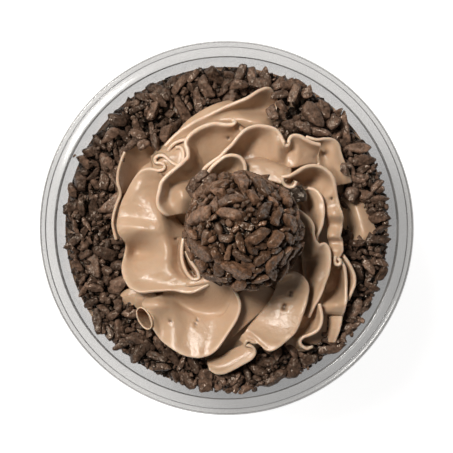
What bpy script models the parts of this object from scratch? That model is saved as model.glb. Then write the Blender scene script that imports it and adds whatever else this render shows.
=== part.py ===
"""Clear flanged cup filled with chocolate cake and cream, topped with a ring of chocolate
flakes, a ruffled swirl of piped chocolate cream and a flake-coated brigadeiro ball.

Lengths are in millimetres here and become metres when a mesh is made. The origin is the
centre of the cup's base and +Z is up. Heights named "over the rim" are measured from the
rim's top face.
"""

import math
import random

import bmesh
import bpy
from mathutils import Vector

MM = 0.001

# Cup
CUP_HEIGHT = 70.0
RIM_RADIUS = 47.5
BEAD_WIDTH = 1.5
BEAD_DROP = 2.2
FLANGE_INNER = 43.9
FLANGE_STEP = 0.45
WALL_TOP_RADIUS = 43.3
BASE_RADIUS = 32.5
WALL = 0.8
FLOOR = 1.0
CUP_SIDES = 42

# Filling
CLEARANCE = 0.3
CAKE_TOP = 47.0
BED_TOP = 61.0
FILL_SIDES = 48

# Flake ring
RING_CORE_TOP = -6.6
RING_FLAKES = 54
RING_SEED = 11
RING_SIDES = 48
RING_GAP = 0.6

# Ball
BALL_CENTRE = (4.0, 0.2, 14.0)
BALL_CORE = 13.2
BALL_RADIUS = 14.5
BALL_FLAKES = 50
BALL_SEED = 5

# Swirl
LIP_THICKNESS = 0.7
ROOT_THICKNESS = 5.0
RUFFLE_LOWEST = -8.4
MOUND_CENTRE = (2.0, -0.5)
MOUND_INSET = 2.4
MOUND_PROFILE = ((0.97, -8.7), (1.0, -7.2), (0.95, -5.4), (0.84, -3.4), (0.70, -1.2), (0.52, 0.4))
MOUND_PEAK = 0.8
MOUND_SIDES = 26

# Each ruffle is a sheet of cream laid over rows of (x, y, height over the rim) points, from its
# root, tucked into the mound, through the valley between ruffles and out to its lip. "steps" is
# the number of stations along it.
RUFFLES = {
    "low_left": dict(
        steps=7,
        rows=(
            ((-15, 19, -6), (-17, 14, -6), (-21, 8, -5)),
            ((-18.5, 21.5, -2.5), (-24.5, 20.6, -0.8), (-26.2, 18, 0), (-27, 13.5, 0),
             (-26.2, 8.7, -1)),
        ),
    ),
    "top_outer": dict(
        steps=10,
        rows=(
            ((-11, 19.5, 3), (-9.5, 23, 3.5), (-4, 25.5, 4), (2, 26.2, 4), (8, 25.4, 5),
             (13, 24.6, 4.5)),
            ((-14, 21, 0), (-10, 24.3, 0.3), (-5, 26.8, 0.6), (0, 28.6, 0), (4.5, 30.2, -1.5),
             (9, 31, -3), (13, 31, -4.5)),
            ((-15.6, 20.6, 1), (-13, 23, 1.2), (-9, 25, 1.6), (-4, 27.5, 2), (0, 29.6, 2.4),
             (4, 31.8, 2.4), (8.6, 34.6, 1), (11, 35, 0.5), (13.5, 34.4, -1), (14.5, 33.2, -2.5)),
        ),
    ),
    "top_right": dict(
        steps=9,
        rows=(
            ((14, 22, 3), (19, 20, 3), (24, 17, 3), (27, 13, 2)),
            ((16, 23.5, 1), (21, 21, 0), (25.5, 18.5, -1.5), (28.4, 14.5, -3)),
            ((17, 24.3, 2.6), (20, 22.9, 2.6), (23.4, 22.8, 2), (25.8, 22.9, 1.4), (28.2, 22.2, 0),
             (28.6, 20.6, -0.4), (29.2, 18.6, -0.8), (30.4, 16.6, -1.8), (30.6, 14, -3)),
        ),
    ),
    "bottom_small": dict(
        steps=8,
        rows=(
            ((-5.4, -30, -3.6), (-1.5, -29.6, -3.2), (2, -28.6, -2.2), (4, -27.4, -0.8)),
            ((-4.4, -33, -1.4), (-1.4, -32.6, -0.4), (2.4, -31, 0.2), (5, -29.2, 0.6)),
            ((-4.6, -34, -2), (-4.2, -35.2, -1.8), (-2.8, -36.1, -1.6), (-1.2, -35.9, -1.4),
             (0.4, -35.2, -1.2), (3.8, -33.2, -0.6), (6.4, -31.5, 0), (7.3, -30.2, 0.2),
             (6.8, -28.8, 0.8)),
        ),
    ),
    "right_low": dict(
        steps=8,
        rows=(
            ((25.2, -5, 5), (25.4, -10, 4.6), (24.2, -14, 4.2), (23.2, -17.5, 3.6),
             (22.6, -20.8, 2.4)),
            ((26, -6, 1.4), (26.4, -11, -0.5), (25.8, -15, -1.4), (25.3, -18.5, -0.6),
             (24.6, -21.2, -0.4)),
            ((27.8, -6.3, 3.6), (29.5, -6.8, 3.4), (30.8, -8.5, 3), (32, -12, 1.8),
             (31.4, -14.8, 1.2), (30.3, -16.2, 1.6), (30, -18.6, 2), (28.9, -21, 1.6)),
        ),
    ),
    "right_curl": dict(
        steps=9,
        rows=(
            ((20.8, -19, 1.5), (19.2, -22, 1.5), (17.4, -24.6, 2), (15.6, -27, 1.6),
             (14, -28.6, 0.6)),
            ((22, -19.6, -0.6), (21.4, -23, -1.4), (19.6, -24.8, -1.6), (17.2, -27, -2),
             (16.6, -29.4, -2.6)),
            ((23.2, -18.6, 3.6), (23.6, -21.5, 3), (23.7, -24, 2.6), (22.7, -25.9, 2.4),
             (20.5, -26.6, 2.4), (19, -27.8, 2.2), (18.6, -29.2, 1.6), (19.8, -30.2, 1),
             (21.6, -30.1, 0.4), (23, -29.4, 0)),
        ),
    ),
    "bottom_left": dict(
        steps=13,
        rows=(
            ((-21.9, -19.6, 3), (-17.5, -16.4, 3), (-13.5, -15, 3.6), (-8, -14, 5), (-2.5, -13, 6),
             (1, -13, 6.2)),
            ((-20.6, -20.2, 3.4), (-17, -18.6, 3), (-13.5, -18.6, 1.8), (-8.2, -19.8, 1),
             (-4, -20.3, 1.2), (0, -20, 2), (1.8, -17.6, 4)),
            ((-19.6, -22.4, 2.2), (-16.8, -22.8, 0), (-13, -24.4, 0.4), (-9, -25.4, 0.2),
             (-5, -25, 0.8), (-0.6, -23, 2), (2.2, -18.6, 4.6)),
            ((-19, -25, 0.4), (-17.2, -27.3, 0.5), (-15.3, -28.7, 0.8), (-10.6, -31.3, 1.4),
             (-8.2, -31.9, 1.6), (-6, -31.7, 1.8), (-3.9, -30.9, 2), (-2, -29.2, 2.4),
             (1.8, -23.7, 4), (3, -20.9, 5), (3.2, -19, 5.6), (2.6, -17, 6.2), (1.6, -15.4, 6.6)),
        ),
    ),
    "bottom_right": dict(
        steps=14,
        rows=(
            ((2, -25, 1.5), (2.6, -21, 3), (4, -16.5, 4.5), (8, -14.2, 5), (11.5, -12.4, 5.5)),
            ((3, -25.6, 0), (6.5, -22.5, 0), (9, -19.5, 0.3), (11.5, -16.5, 1.2), (13, -13.8, 3.2)),
            ((3.4, -26.4, 1.8), (8.6, -25.4, 2.8), (12.4, -22, 3.8), (15.4, -17.6, 5),
             (16, -13.6, 6)),
            ((3.6, -26.8, 1.6), (3.5, -27.8, 1.8), (4.4, -28.8, 2.4), (5.6, -28.2, 3),
             (6.8, -28.6, 3), (8.5, -29.8, 3), (10.5, -30.3, 3), (12.5, -29.8, 3.2),
             (14, -28.5, 3.6), (15.8, -26.6, 4.2), (17, -24.5, 4.8), (19.3, -20, 6),
             (20.4, -16.8, 6.8), (20.3, -14.2, 7.4), (19, -12.1, 8), (17.2, -11.4, 8.2),
             (15.5, -11.7, 8.2), (14, -12.8, 7.6)),
        ),
    ),
    "left_outer": dict(
        steps=18,
        rows=(
            ((-11, 12, 4), (-12, 7, 3), (-14.2, 4, 4.4), (-12, 0, 4.6), (-11.5, -4, 4.6),
             (-11, -8, 4.4), (-8.6, -12, 4.4), (-5, -12, 4.6)),
            ((-13.5, 13.5, 3.5), (-16, 9, 2), (-17.4, 3.5, 1.6), (-16.8, -1, 2), (-16, -5, 0.8),
             (-15, -9, 1), (-12.8, -12, 2), (-9, -14, 3.6), (-6, -13.6, 4.6)),
            ((-16.8, 14, 3.8), (-20, 12, 2.6), (-21.6, 5, 2), (-22, 0.4, 2.8), (-20.4, -5.6, 0.2),
             (-20.6, -10, 1), (-18, -13.2, 2.2), (-10, -14.8, 4), (-5.6, -13.4, 5.4)),
            ((-17.4, 14.8, 5), (-20.3, 15.4, 4.6), (-22.4, 14.4, 4), (-23.8, 12.6, 3.6),
             (-25.2, 9.6, 3), (-26.4, 6.3, 2.4), (-27.6, 2.6, 2.4), (-28, 0.4, 2.8),
             (-27.4, -2.2, 2.4), (-26.2, -2.7, 2), (-25.3, -3.8, 1), (-25.2, -5.5, 0.4),
             (-26.1, -7.9, 0.8), (-26.3, -10.2, 1.8), (-25.7, -12.6, 2.8), (-24.3, -14.8, 3.2),
             (-21.5, -15.7, 3.4), (-19.1, -15.5, 3.6), (-15, -15, 4), (-11, -15.3, 4.6),
             (-8.6, -15.3, 5), (-6.5, -14.4, 5.6), (-4.8, -13.5, 6)),
        ),
    ),
    "left_inner": dict(
        steps=15,
        rows=(
            ((4, 22, 5), (0.5, 20, 6.5), (-4, 15.8, 7), (-6.6, 13.2, 6.8), (-9.5, 10.5, 4.6),
             (-10.6, 8, 4.6), (-10.4, 5, 4)),
            ((4.5, 25, 1), (0, 22, 1.5), (-5, 18.6, 2), (-8, 15, 2.5), (-11.6, 12.4, 2.6),
             (-13.8, 9.5, 2.4), (-14, 7, 2.4), (-13, 4.6, 3)),
            ((2.4, 27.4, 4.4), (2.5, 26.9, 4.8), (1.8, 26.4, 5), (0, 26.1, 5), (-2, 26.4, 5),
             (-4, 26.3, 5.2), (-6, 25.6, 5.4), (-8, 24.7, 5.6), (-9.4, 23.4, 5.8), (-9.7, 21.3, 6),
             (-9.2, 19.7, 6.2), (-9.5, 18, 6.4), (-10.8, 16.6, 6.8), (-12.5, 15.3, 7),
             (-14.4, 13.6, 7), (-15.9, 11.8, 6.8), (-16.7, 9.7, 6.6), (-17.2, 7.8, 6.4),
             (-16.9, 6.2, 6.2), (-16, 4.9, 6), (-14.6, 4.1, 5.6)),
        ),
    ),
    "right_outer": dict(
        steps=13,
        rows=(
            ((9, 11, 5), (12, 9, 5), (16, 8.5, 4.5), (20, 9, 5), (22.6, 8.4, 5.5), (23.6, 5.5, 5.5),
             (23.6, 2, 5.5), (23.4, -3, 5)),
            ((8, 12.5, 4), (13, 11, 2.5), (18, 10.5, 1.5), (22.5, 10, 1.5), (24.4, 6, 2),
             (25, 2, 2), (25.4, -3, 2.4), (25.6, -7, 2.4)),
            ((6.2, 16.2, 6), (7.2, 15.6, 7), (10, 14.2, 8.4), (13.5, 13.3, 9), (15.5, 13.5, 9),
             (18, 14.6, 8.8), (21.5, 16, 8), (24, 15.6, 7), (26, 14, 6.4), (27.3, 11, 5.6),
             (27.9, 7.5, 5), (29.4, 3.5, 4.2), (29.2, 0.8, 4), (28.8, -1.3, 4.4), (29.7, -3.6, 4),
             (28.9, -5.6, 4.2), (27.9, -7.6, 4.4)),
        ),
    ),
    "top_inner": dict(
        steps=14,
        rows=(
            ((-3, 12, 5), (1, 13, 5), (6.5, 14, 6.5), (10, 13.5, 7.2), (13.5, 12.8, 7.6),
             (18, 13.6, 7.4), (23, 14.6, 6.2)),
            ((-3.5, 14.5, 4), (2.5, 19, 3.5), (5.5, 17.5, 1.5), (9, 17, 1.5), (13, 15.8, 2),
             (18, 16.5, 2), (23, 17, 1)),
            ((-6.4, 13.6, 8.6), (-3.4, 17, 9), (0.4, 20.3, 9), (4, 24, 8.2), (8, 26.1, 7.2),
             (12.2, 25.6, 6.4), (13.6, 23.6, 6.6), (14, 21.6, 6.8), (15.2, 20.8, 6.8),
             (15.9, 21.6, 6.6), (16.3, 23.2, 6.2), (18.4, 23.9, 5.4), (20.4, 22.3, 5.6),
             (22, 22, 4.8), (23.8, 21.2, 4)),
        ),
    ),
    "right_band": dict(
        steps=12,
        rows=(
            ((15, 2, 4), (16.5, -2, 4), (17.2, -6, 4), (18, -10, 4.5), (19.5, -14, 5),
             (19.6, -18, 4), (18.8, -20.5, 3)),
            ((17, 2, 2.5), (19, -1, 2), (20.3, -5, 1.5), (20.8, -9, 1.2), (20.8, -13, 1),
             (21, -16.5, 0.8), (20.4, -20, 0)),
            ((16, 5.6, 9), (18.5, 4.6, 9.4), (20.3, 3.3, 9.2), (21.8, 1.4, 8.6), (22.1, -1, 8),
             (22.6, -3.3, 7.4), (23.6, -3.9, 7), (24.6, -3.4, 6.6), (25.4, -4.2, 6.4),
             (25.9, -7, 6), (25.5, -10.5, 5.6), (24.5, -13.5, 5.2), (23.6, -16.8, 4.6),
             (22.4, -19.2, 3.8), (21, -21.8, 2.6)),
        ),
    ),
    "above_ball": dict(
        steps=7,
        rows=(
            ((-4, 12.5, 4), (-1.5, 13.8, 3.5), (1, 14.6, 3.5), (3, 14.4, 4)),
            ((-5.4, 13, 9.5), (-4, 14.7, 9.8), (-2.5, 16.4, 10), (-1, 17.8, 10), (0.5, 18.4, 10),
             (2.3, 18.3, 9.8), (3.5, 17.5, 9.6), (4.1, 16.3, 9.4), (4.4, 15, 9)),
        ),
    ),
}
ROWS_PER_BAND = 2

STRAY_FLAKE = dict(at=(17.4, 8.6, 9.6), size=(2.3, 2.0, 1.5))


def clear_scene():
    for item in list(bpy.data.objects):
        bpy.data.objects.remove(item, do_unlink=True)


def material(name, colour, roughness, alpha=1.0):
    made = bpy.data.materials.new(name)
    made.use_nodes = True
    shader = made.node_tree.nodes["Principled BSDF"]
    shader.inputs["Base Color"].default_value = (*colour, 1.0)
    shader.inputs["Roughness"].default_value = roughness
    shader.inputs["Alpha"].default_value = alpha
    return made


def cup_plastic():
    return material("clear_plastic", (0.86, 0.85, 0.82), 0.18, 0.45)


def cake_crumb():
    return material("chocolate_cake", (0.075, 0.036, 0.020), 0.85)


def cream_for_bed():
    return material("bed_cream", (0.40, 0.26, 0.17), 0.5)


def cream_for_swirl():
    return material("swirl_cream", (0.44, 0.29, 0.19), 0.4)


def ring_chocolate():
    return material("ring_chocolate", (0.070, 0.038, 0.024), 0.6)


def ball_chocolate():
    return material("ball_chocolate", (0.066, 0.034, 0.021), 0.5)


def mesh_from(name, points, faces, look=None, smooth=False):
    mesh = bpy.data.meshes.new(name)
    mesh.from_pydata([tuple(c * MM for c in p) for p in points], [], faces)
    built = bmesh.new()
    built.from_mesh(mesh)
    bmesh.ops.recalc_face_normals(built, faces=built.faces)
    built.to_mesh(mesh)
    built.free()
    for face in mesh.polygons:
        face.use_smooth = smooth
    made = bpy.data.objects.new(name, mesh)
    bpy.context.scene.collection.objects.link(made)
    if look:
        mesh.materials.append(look)
    return made


def lathe(name, outline, sides, look=None, centre=(0.0, 0.0)):
    """A closed solid turned from an outline that starts and ends on the axis or closes on itself."""
    points = []
    faces = []
    rings = []
    for radius, height in outline:
        if radius < 1e-6:
            rings.append([len(points)])
            points.append((centre[0], centre[1], height))
            continue
        rings.append(list(range(len(points), len(points) + sides)))
        for k in range(sides):
            turn = 2 * math.pi * k / sides
            points.append((centre[0] + radius * math.cos(turn),
                           centre[1] + radius * math.sin(turn), height))
    joined = len(rings) if len(rings[0]) > 1 and len(rings[-1]) > 1 else len(rings) - 1
    for k in range(joined):
        here, there = rings[k], rings[(k + 1) % len(rings)]
        for j in range(sides):
            i = (j + 1) % sides
            if len(here) == 1:
                faces.append((here[0], there[j], there[i]))
            elif len(there) == 1:
                faces.append((here[j], there[0], here[i]))
            else:
                faces.append((here[j], there[j], there[i], here[i]))
    return mesh_from(name, points, faces, look, smooth=True)


def wall_radius(height, inside):
    """The cup wall's radius at a height over the base."""
    outer = BASE_RADIUS + (WALL_TOP_RADIUS + WALL - BASE_RADIUS) * height / CUP_HEIGHT
    return outer - WALL if inside else outer


def build_cup():
    top = CUP_HEIGHT
    band = top - FLANGE_STEP
    under = band - 1.1
    groove = RIM_RADIUS - BEAD_WIDTH
    outline = [
        (BASE_RADIUS - 1.2, 0.0),
        (wall_radius(1.2, False), 1.2),
        (wall_radius(under - 0.6, False), under - 0.6),
        (wall_radius(under, False) + 0.5, under),
        (groove, under),
        (groove + 0.3, top - BEAD_DROP),
        (RIM_RADIUS - 0.35, top - BEAD_DROP),
        (RIM_RADIUS, top - BEAD_DROP + 0.5),
        (RIM_RADIUS, top - 0.6),
        (RIM_RADIUS - 0.4, top - 0.1),
        (RIM_RADIUS - 0.9, top),
        (groove + 0.1, top - 0.15),
        (groove - 0.15, band),
        (FLANGE_INNER, band),
        (FLANGE_INNER - 0.45, band - 0.25),
        (WALL_TOP_RADIUS, band - 1.0),
        (wall_radius(FLOOR + 1.5, True), FLOOR + 1.5),
        (wall_radius(FLOOR, True) - 1.5, FLOOR),
        (0.0, FLOOR),
    ]
    return lathe("cup", [(0.0, 0.0)] + outline, CUP_SIDES, cup_plastic())


def fill_radius(height):
    return wall_radius(height, True) - CLEARANCE


def build_cake():
    low = FLOOR + CLEARANCE
    outline = (
        (0.0, low),
        (fill_radius(low) - 1.6, low),
        (fill_radius(low + 1.6), low + 1.6),
        (fill_radius(CAKE_TOP), CAKE_TOP),
        (0.0, CAKE_TOP),
    )
    return lathe("cake", outline, FILL_SIDES, cake_crumb())


def build_cream_bed():
    low = CAKE_TOP + CLEARANCE
    outline = (
        (0.0, low),
        (fill_radius(low), low),
        (fill_radius(BED_TOP), BED_TOP),
        (0.0, BED_TOP),
    )
    return lathe("cream_bed", outline, FILL_SIDES, cream_for_bed())


def between(p0, p1, p2, p3, t):
    """A smooth step from the second point to the third."""
    made = []
    for a, b, c, d in zip(p0, p1, p2, p3):
        made.append(0.5 * (2 * b + (c - a) * t + (2 * a - 5 * b + 4 * c - d) * t * t
                           + (3 * b - a - 3 * c + d) * t ** 3))
    return made


def along(points, share):
    """The point a share of the way along a smooth curve through the points."""
    spans = [0.0]
    for a, b in zip(points, points[1:]):
        spans.append(spans[-1] + math.dist(a[:2], b[:2]) ** 0.7)
    want = share * spans[-1]
    last = len(points) - 1
    k = max(i for i in range(last) if spans[i] <= want + 1e-9)
    t = (want - spans[k]) / (spans[k + 1] - spans[k])
    return between(points[max(0, k - 1)], points[k], points[k + 1], points[min(last, k + 2)], t)


def across_rows(spots):
    """Points over the face at one station, from the root's spot out to the lip's."""
    last = len(spots) - 1
    face = []
    for k in range(last):
        for j in range(ROWS_PER_BAND):
            face.append(Vector(between(spots[max(0, k - 1)], spots[k], spots[k + 1],
                                       spots[min(last, k + 2)], j / ROWS_PER_BAND)))
    face.append(Vector(spots[-1]))
    return face


def build_ruffle(name, rows, steps):
    """A tapered sheet of cream: top face, lip and underside, closed at both ends."""
    loops = []
    for i in range(steps + 1):
        loop = across_rows([along(row, i / steps) for row in rows])
        wide = len(loop) - 1
        for j in range(wide, -1, -1):
            thick = LIP_THICKNESS + (ROOT_THICKNESS - LIP_THICKNESS) * (1 - j / wide) ** 1.3
            spot = loop[j].copy()
            spot.z = max(spot.z - thick, RUFFLE_LOWEST)
            loop.append(spot)
        loops.append(loop)
    count = len(loops[0])
    points = [(p.x, p.y, p.z + CUP_HEIGHT) for loop in loops for p in loop]
    faces = []
    for i in range(steps):
        for j in range(count):
            k = (j + 1) % count
            faces.append((i * count + j, i * count + k, (i + 1) * count + k, (i + 1) * count + j))
    for base in (0, steps * count):
        for j in range(wide):
            faces.append((base + j, base + j + 1, base + count - 2 - j, base + count - 1 - j))
    return mesh_from(name, points, faces)


def lip_reach(turn):
    """How far the lips reach from the mound's middle in one direction."""
    best = 0.0
    for sizes in RUFFLES.values():
        for k in range(41):
            x, y, _ = along(sizes["rows"][-1], k / 40)
            x, y = x - MOUND_CENTRE[0], y - MOUND_CENTRE[1]
            apart = abs((math.atan2(y, x) - turn + math.pi) % (2 * math.pi) - math.pi)
            if apart < 1.2 * math.pi / MOUND_SIDES:
                best = max(best, math.hypot(x, y))
    return best


def build_mound():
    """The cream under the ruffles, a little inside their lips all round."""
    x, y = MOUND_CENTRE
    reach = [lip_reach(2 * math.pi * k / MOUND_SIDES) - MOUND_INSET for k in range(MOUND_SIDES)]
    points = []
    faces = []
    for share, height in MOUND_PROFILE:
        for k in range(MOUND_SIDES):
            turn = 2 * math.pi * k / MOUND_SIDES
            near = (reach[k - 1] + 2 * reach[k] + reach[(k + 1) % MOUND_SIDES]) / 4
            radius = share * (share * min(near, reach[k]) + (1 - share) * 28.0)
            points.append((x + radius * math.cos(turn), y + radius * math.sin(turn), height + CUP_HEIGHT))
    rows = len(MOUND_PROFILE)
    for row in range(rows - 1):
        for k in range(MOUND_SIDES):
            n = (k + 1) % MOUND_SIDES
            low = row * MOUND_SIDES
            high = low + MOUND_SIDES
            faces.append((low + k, low + n, high + n, high + k))
    floor, peak = len(points), len(points) + 1
    points += [(x, y, MOUND_PROFILE[0][1] + CUP_HEIGHT), (x, y, MOUND_PEAK + CUP_HEIGHT)]
    for k in range(MOUND_SIDES):
        n = (k + 1) % MOUND_SIDES
        last = (rows - 1) * MOUND_SIDES
        faces.append((floor, n, k))
        faces.append((peak, last + k, last + n))
    return mesh_from("mound", points, faces)


def flake_mesh(name, rng, centre, across, along_axis, up, size, corners=12):
    """A blunt irregular chip: the hull of jittered points on a rounded box."""
    built = bmesh.new()
    start = rng.uniform(0, 1)
    for k in range(corners):
        level = 1 - 2 * (k + 0.5) / corners
        turn = 2.399963 * k + start * 6.28
        ring = math.sqrt(1 - level * level)
        ray = Vector((ring * math.cos(turn), ring * math.sin(turn), level))
        blunt = sum(abs(c) ** 5 for c in ray) ** (-1 / 5)
        ray *= blunt * rng.uniform(0.86, 1.08)
        spot = (Vector(centre) + across * ray.x * size[0] + along_axis * ray.y * size[1]
                + up * ray.z * size[2])
        built.verts.new(spot * MM)
    hull = bmesh.ops.convex_hull(built, input=built.verts)
    loose = [v for v in built.verts if not v.link_faces]
    bmesh.ops.delete(built, geom=loose, context="VERTS")
    bmesh.ops.recalc_face_normals(built, faces=built.faces)
    mesh = bpy.data.meshes.new(name)
    built.to_mesh(mesh)
    built.free()
    made = bpy.data.objects.new(name, mesh)
    bpy.context.scene.collection.objects.link(made)
    return made


def tangents(up, turn):
    side = up.cross(Vector((0.0, 0.0, 1.0)))
    if side.length < 1e-3:
        side = Vector((1.0, 0.0, 0.0))
    side.normalize()
    other = up.cross(side)
    return side * math.cos(turn) + other * math.sin(turn), other * math.cos(turn) - side * math.sin(turn)


def combine(target, others, operation, name):
    """Join the others to the target, or cut or keep by them, in one Boolean over a collection."""
    group = bpy.data.collections.new(name)
    for other in others:
        group.objects.link(other)
    step = target.modifiers.new(name, "BOOLEAN")
    step.operation = operation
    step.operand_type = "COLLECTION"
    step.collection = group
    step.solver = "MANIFOLD"
    bpy.context.view_layer.update()
    result = bpy.data.meshes.new_from_object(target.evaluated_get(bpy.context.evaluated_depsgraph_get()))
    target.modifiers.clear()
    target.data = result
    for other in others:
        bpy.data.objects.remove(other, do_unlink=True)
    bpy.data.collections.remove(group)


def weld(target, distance=0.01):
    """Merge slivers left by the joins and keep the largest body."""
    built = bmesh.new()
    built.from_mesh(target.data)
    bmesh.ops.remove_doubles(built, verts=built.verts, dist=distance * MM)
    bmesh.ops.dissolve_degenerate(built, edges=built.edges, dist=0.005 * MM)
    bmesh.ops.triangulate(built, faces=built.faces)
    built.to_mesh(target.data)
    built.free()


def keep_largest(target):
    built = bmesh.new()
    built.from_mesh(target.data)
    built.verts.ensure_lookup_table()
    seen = set()
    bodies = []
    for vert in built.verts:
        if vert.index in seen:
            continue
        body = []
        waiting = [vert]
        seen.add(vert.index)
        while waiting:
            here = waiting.pop()
            body.append(here)
            for edge in here.link_edges:
                there = edge.other_vert(here)
                if there.index not in seen:
                    seen.add(there.index)
                    waiting.append(there)
        bodies.append(body)
    bodies.sort(key=len, reverse=True)
    scraps = [v for body in bodies[1:] for v in body]
    bmesh.ops.delete(built, geom=scraps, context="VERTS")
    built.to_mesh(target.data)
    built.free()


def finish(target, look, smooth):
    target.data.materials.clear()
    target.data.materials.append(look)
    for face in target.data.polygons:
        face.use_smooth = smooth
        face.material_index = 0


def build_swirl():
    swirl = build_mound()
    swirl.name = "cream_swirl"
    parts = [build_ruffle(name, **sizes) for name, sizes in RUFFLES.items()]
    rng = random.Random(3)
    up = Vector((0.1, -0.1, 1.0)).normalized()
    across, other = tangents(up, 0.6)
    spot = STRAY_FLAKE["at"]
    parts.append(flake_mesh("stray_flake", rng, (spot[0], spot[1], spot[2] + CUP_HEIGHT), across, other,
                            up, STRAY_FLAKE["size"], corners=16))
    combine(swirl, parts, "UNION", "ruffles")
    x, y, z = BALL_CENTRE
    nest = bpy.data.meshes.new("nest")
    built = bmesh.new()
    bmesh.ops.create_icosphere(built, subdivisions=3, radius=(BALL_RADIUS + 0.5) * MM)
    bmesh.ops.translate(built, verts=built.verts, vec=(x * MM, y * MM, (z + CUP_HEIGHT) * MM))
    built.to_mesh(nest)
    built.free()
    hollow = bpy.data.objects.new("nest", nest)
    bpy.context.scene.collection.objects.link(hollow)
    combine(swirl, [hollow], "DIFFERENCE", "nest")
    weld(swirl)
    keep_largest(swirl)
    finish(swirl, cream_for_swirl(), True)
    return swirl


def outline_radius(swirl):
    """The swirl's reach from the cup's axis, by angle, with neighbouring angles covered too."""
    reach = [0.0] * RING_SIDES
    for edge in swirl.data.edges:
        a, b = (swirl.data.vertices[k].co for k in edge.vertices)
        for k in range(9):
            spot = a.lerp(b, k / 8)
            slot = int((math.atan2(spot.y, spot.x) % (2 * math.pi)) / (2 * math.pi) * RING_SIDES)
            reach[slot % RING_SIDES] = max(reach[slot % RING_SIDES], math.hypot(spot.x, spot.y) / MM)
    wide = []
    for k in range(RING_SIDES):
        wide.append(max(reach[k - 1], reach[k]) + RING_GAP)
    return wide


def ring_section(name, inner, inset, low, shoulder, top):
    """A band round the cup between the swirl's outline and the wall."""
    points = []
    faces = []
    for k in range(RING_SIDES):
        turn = 2 * math.pi * k / RING_SIDES
        section = (
            (inner[k] / math.cos(math.pi / RING_SIDES) + inset * 0.5, low),
            (fill_radius(low) - inset, low),
            (fill_radius(shoulder) - inset, shoulder),
            (fill_radius(shoulder) - inset - 1.4, top),
            (max(inner[k] + inset + 1.0, 30.0 + inset), top),
            (inner[k] / math.cos(math.pi / RING_SIDES) + inset * 0.5, shoulder),
        )
        for radius, height in section:
            points.append((radius * math.cos(turn), radius * math.sin(turn), height))
    count = 6
    for k in range(RING_SIDES):
        n = (k + 1) % RING_SIDES
        for j in range(count):
            i = (j + 1) % count
            faces.append((k * count + j, k * count + i, n * count + i, n * count + j))
    return mesh_from(name, points, faces)


def build_flake_ring(swirl):
    inner = outline_radius(swirl)
    low = BED_TOP + CLEARANCE
    core_top = CUP_HEIGHT + RING_CORE_TOP
    ring = ring_section("flake_ring", inner, 0.3, low, core_top - 1.0, core_top)
    rng = random.Random(RING_SEED)
    spots = []
    flakes = []
    tries = 0
    while len(flakes) < RING_FLAKES and tries < 9000:
        tries += 1
        turn = rng.uniform(0, 2 * math.pi)
        slot = int(turn / (2 * math.pi) * RING_SIDES) % RING_SIDES
        near = inner[slot]
        far = fill_radius(core_top) - 1.2
        long = 3.9 - 1.5 * min(1.0, tries / 2500) * rng.uniform(0.6, 1)
        radius = rng.uniform(near + long * 0.5, far)
        spot = (radius * math.cos(turn), radius * math.sin(turn))
        if any(math.dist(spot, s) < 0.72 * (long + w) * 0.92 for s, w in spots):
            continue
        spots.append((spot, long))
        up = Vector((rng.uniform(-0.45, 0.45), rng.uniform(-0.45, 0.45), 1)).normalized()
        across, other = tangents(up, rng.uniform(0, 3.14))
        size = (long * rng.uniform(0.85, 1.1), long * rng.uniform(0.5, 0.68), long * rng.uniform(0.36, 0.5))
        centre = (spot[0], spot[1], core_top + size[2] * rng.uniform(0.15, 0.75))
        flakes.append(flake_mesh("flake", rng, centre, across, other, up, size))
    combine(ring, flakes, "UNION", "flakes")
    limit = ring_section("limit", inner, 0.0, low - 2.0, CUP_HEIGHT - 3.2, CUP_HEIGHT + 1.5)
    combine(ring, [limit], "INTERSECT", "limit")
    weld(ring)
    keep_largest(ring)
    finish(ring, ring_chocolate(), False)
    return ring


def build_ball():
    x, y, z = BALL_CENTRE
    centre = Vector((x, y, z + CUP_HEIGHT))
    mesh = bpy.data.meshes.new("brigadeiro")
    built = bmesh.new()
    bmesh.ops.create_icosphere(built, subdivisions=2, radius=BALL_CORE * MM * 1.01)
    bmesh.ops.translate(built, verts=built.verts, vec=centre * MM)
    built.to_mesh(mesh)
    built.free()
    ball = bpy.data.objects.new("brigadeiro", mesh)
    bpy.context.scene.collection.objects.link(ball)
    rng = random.Random(BALL_SEED)
    flakes = []
    for k in range(BALL_FLAKES):
        level = 1 - 2 * (k + 0.5) / BALL_FLAKES
        turn = 2.399963 * k
        flat = math.sqrt(1 - level * level)
        up = Vector((flat * math.cos(turn), flat * math.sin(turn), level))
        up = (up + Vector((rng.uniform(-0.07, 0.07), rng.uniform(-0.07, 0.07), 0))).normalized()
        across, other = tangents(up, rng.uniform(0, 3.14))
        size = (rng.uniform(2.5, 3.3), rng.uniform(1.6, 2.2), rng.uniform(1.1, 1.3))
        spot = centre + up * (BALL_RADIUS - size[2] * 1.06)
        flakes.append(flake_mesh("flake", rng, spot, across, other, up, size, corners=11))
    combine(ball, flakes, "UNION", "flakes")
    weld(ball)
    keep_largest(ball)
    finish(ball, ball_chocolate(), False)
    return ball


def build():
    clear_scene()
    build_cup()
    build_cake()
    build_cream_bed()
    swirl = build_swirl()
    build_flake_ring(swirl)
    build_ball()
    total = 0
    for item in bpy.context.scene.objects:
        item.data.calc_loop_triangles()
        total += len(item.data.loop_triangles)
        print(item.name, len(item.data.loop_triangles), "triangles")
    print("all", total, "triangles")


build()
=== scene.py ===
"""Looks of the cup of brigadeiro cake: milky clear cup, cake and cream inside, a ring of
chocolate flakes, a ruffled swirl of chocolate cream and a flake-coated brigadeiro ball.

Lengths are in millimetres until a mesh is made. Heights named "over the rim" are measured
from the rim's top face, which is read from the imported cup.
"""
import math

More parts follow.
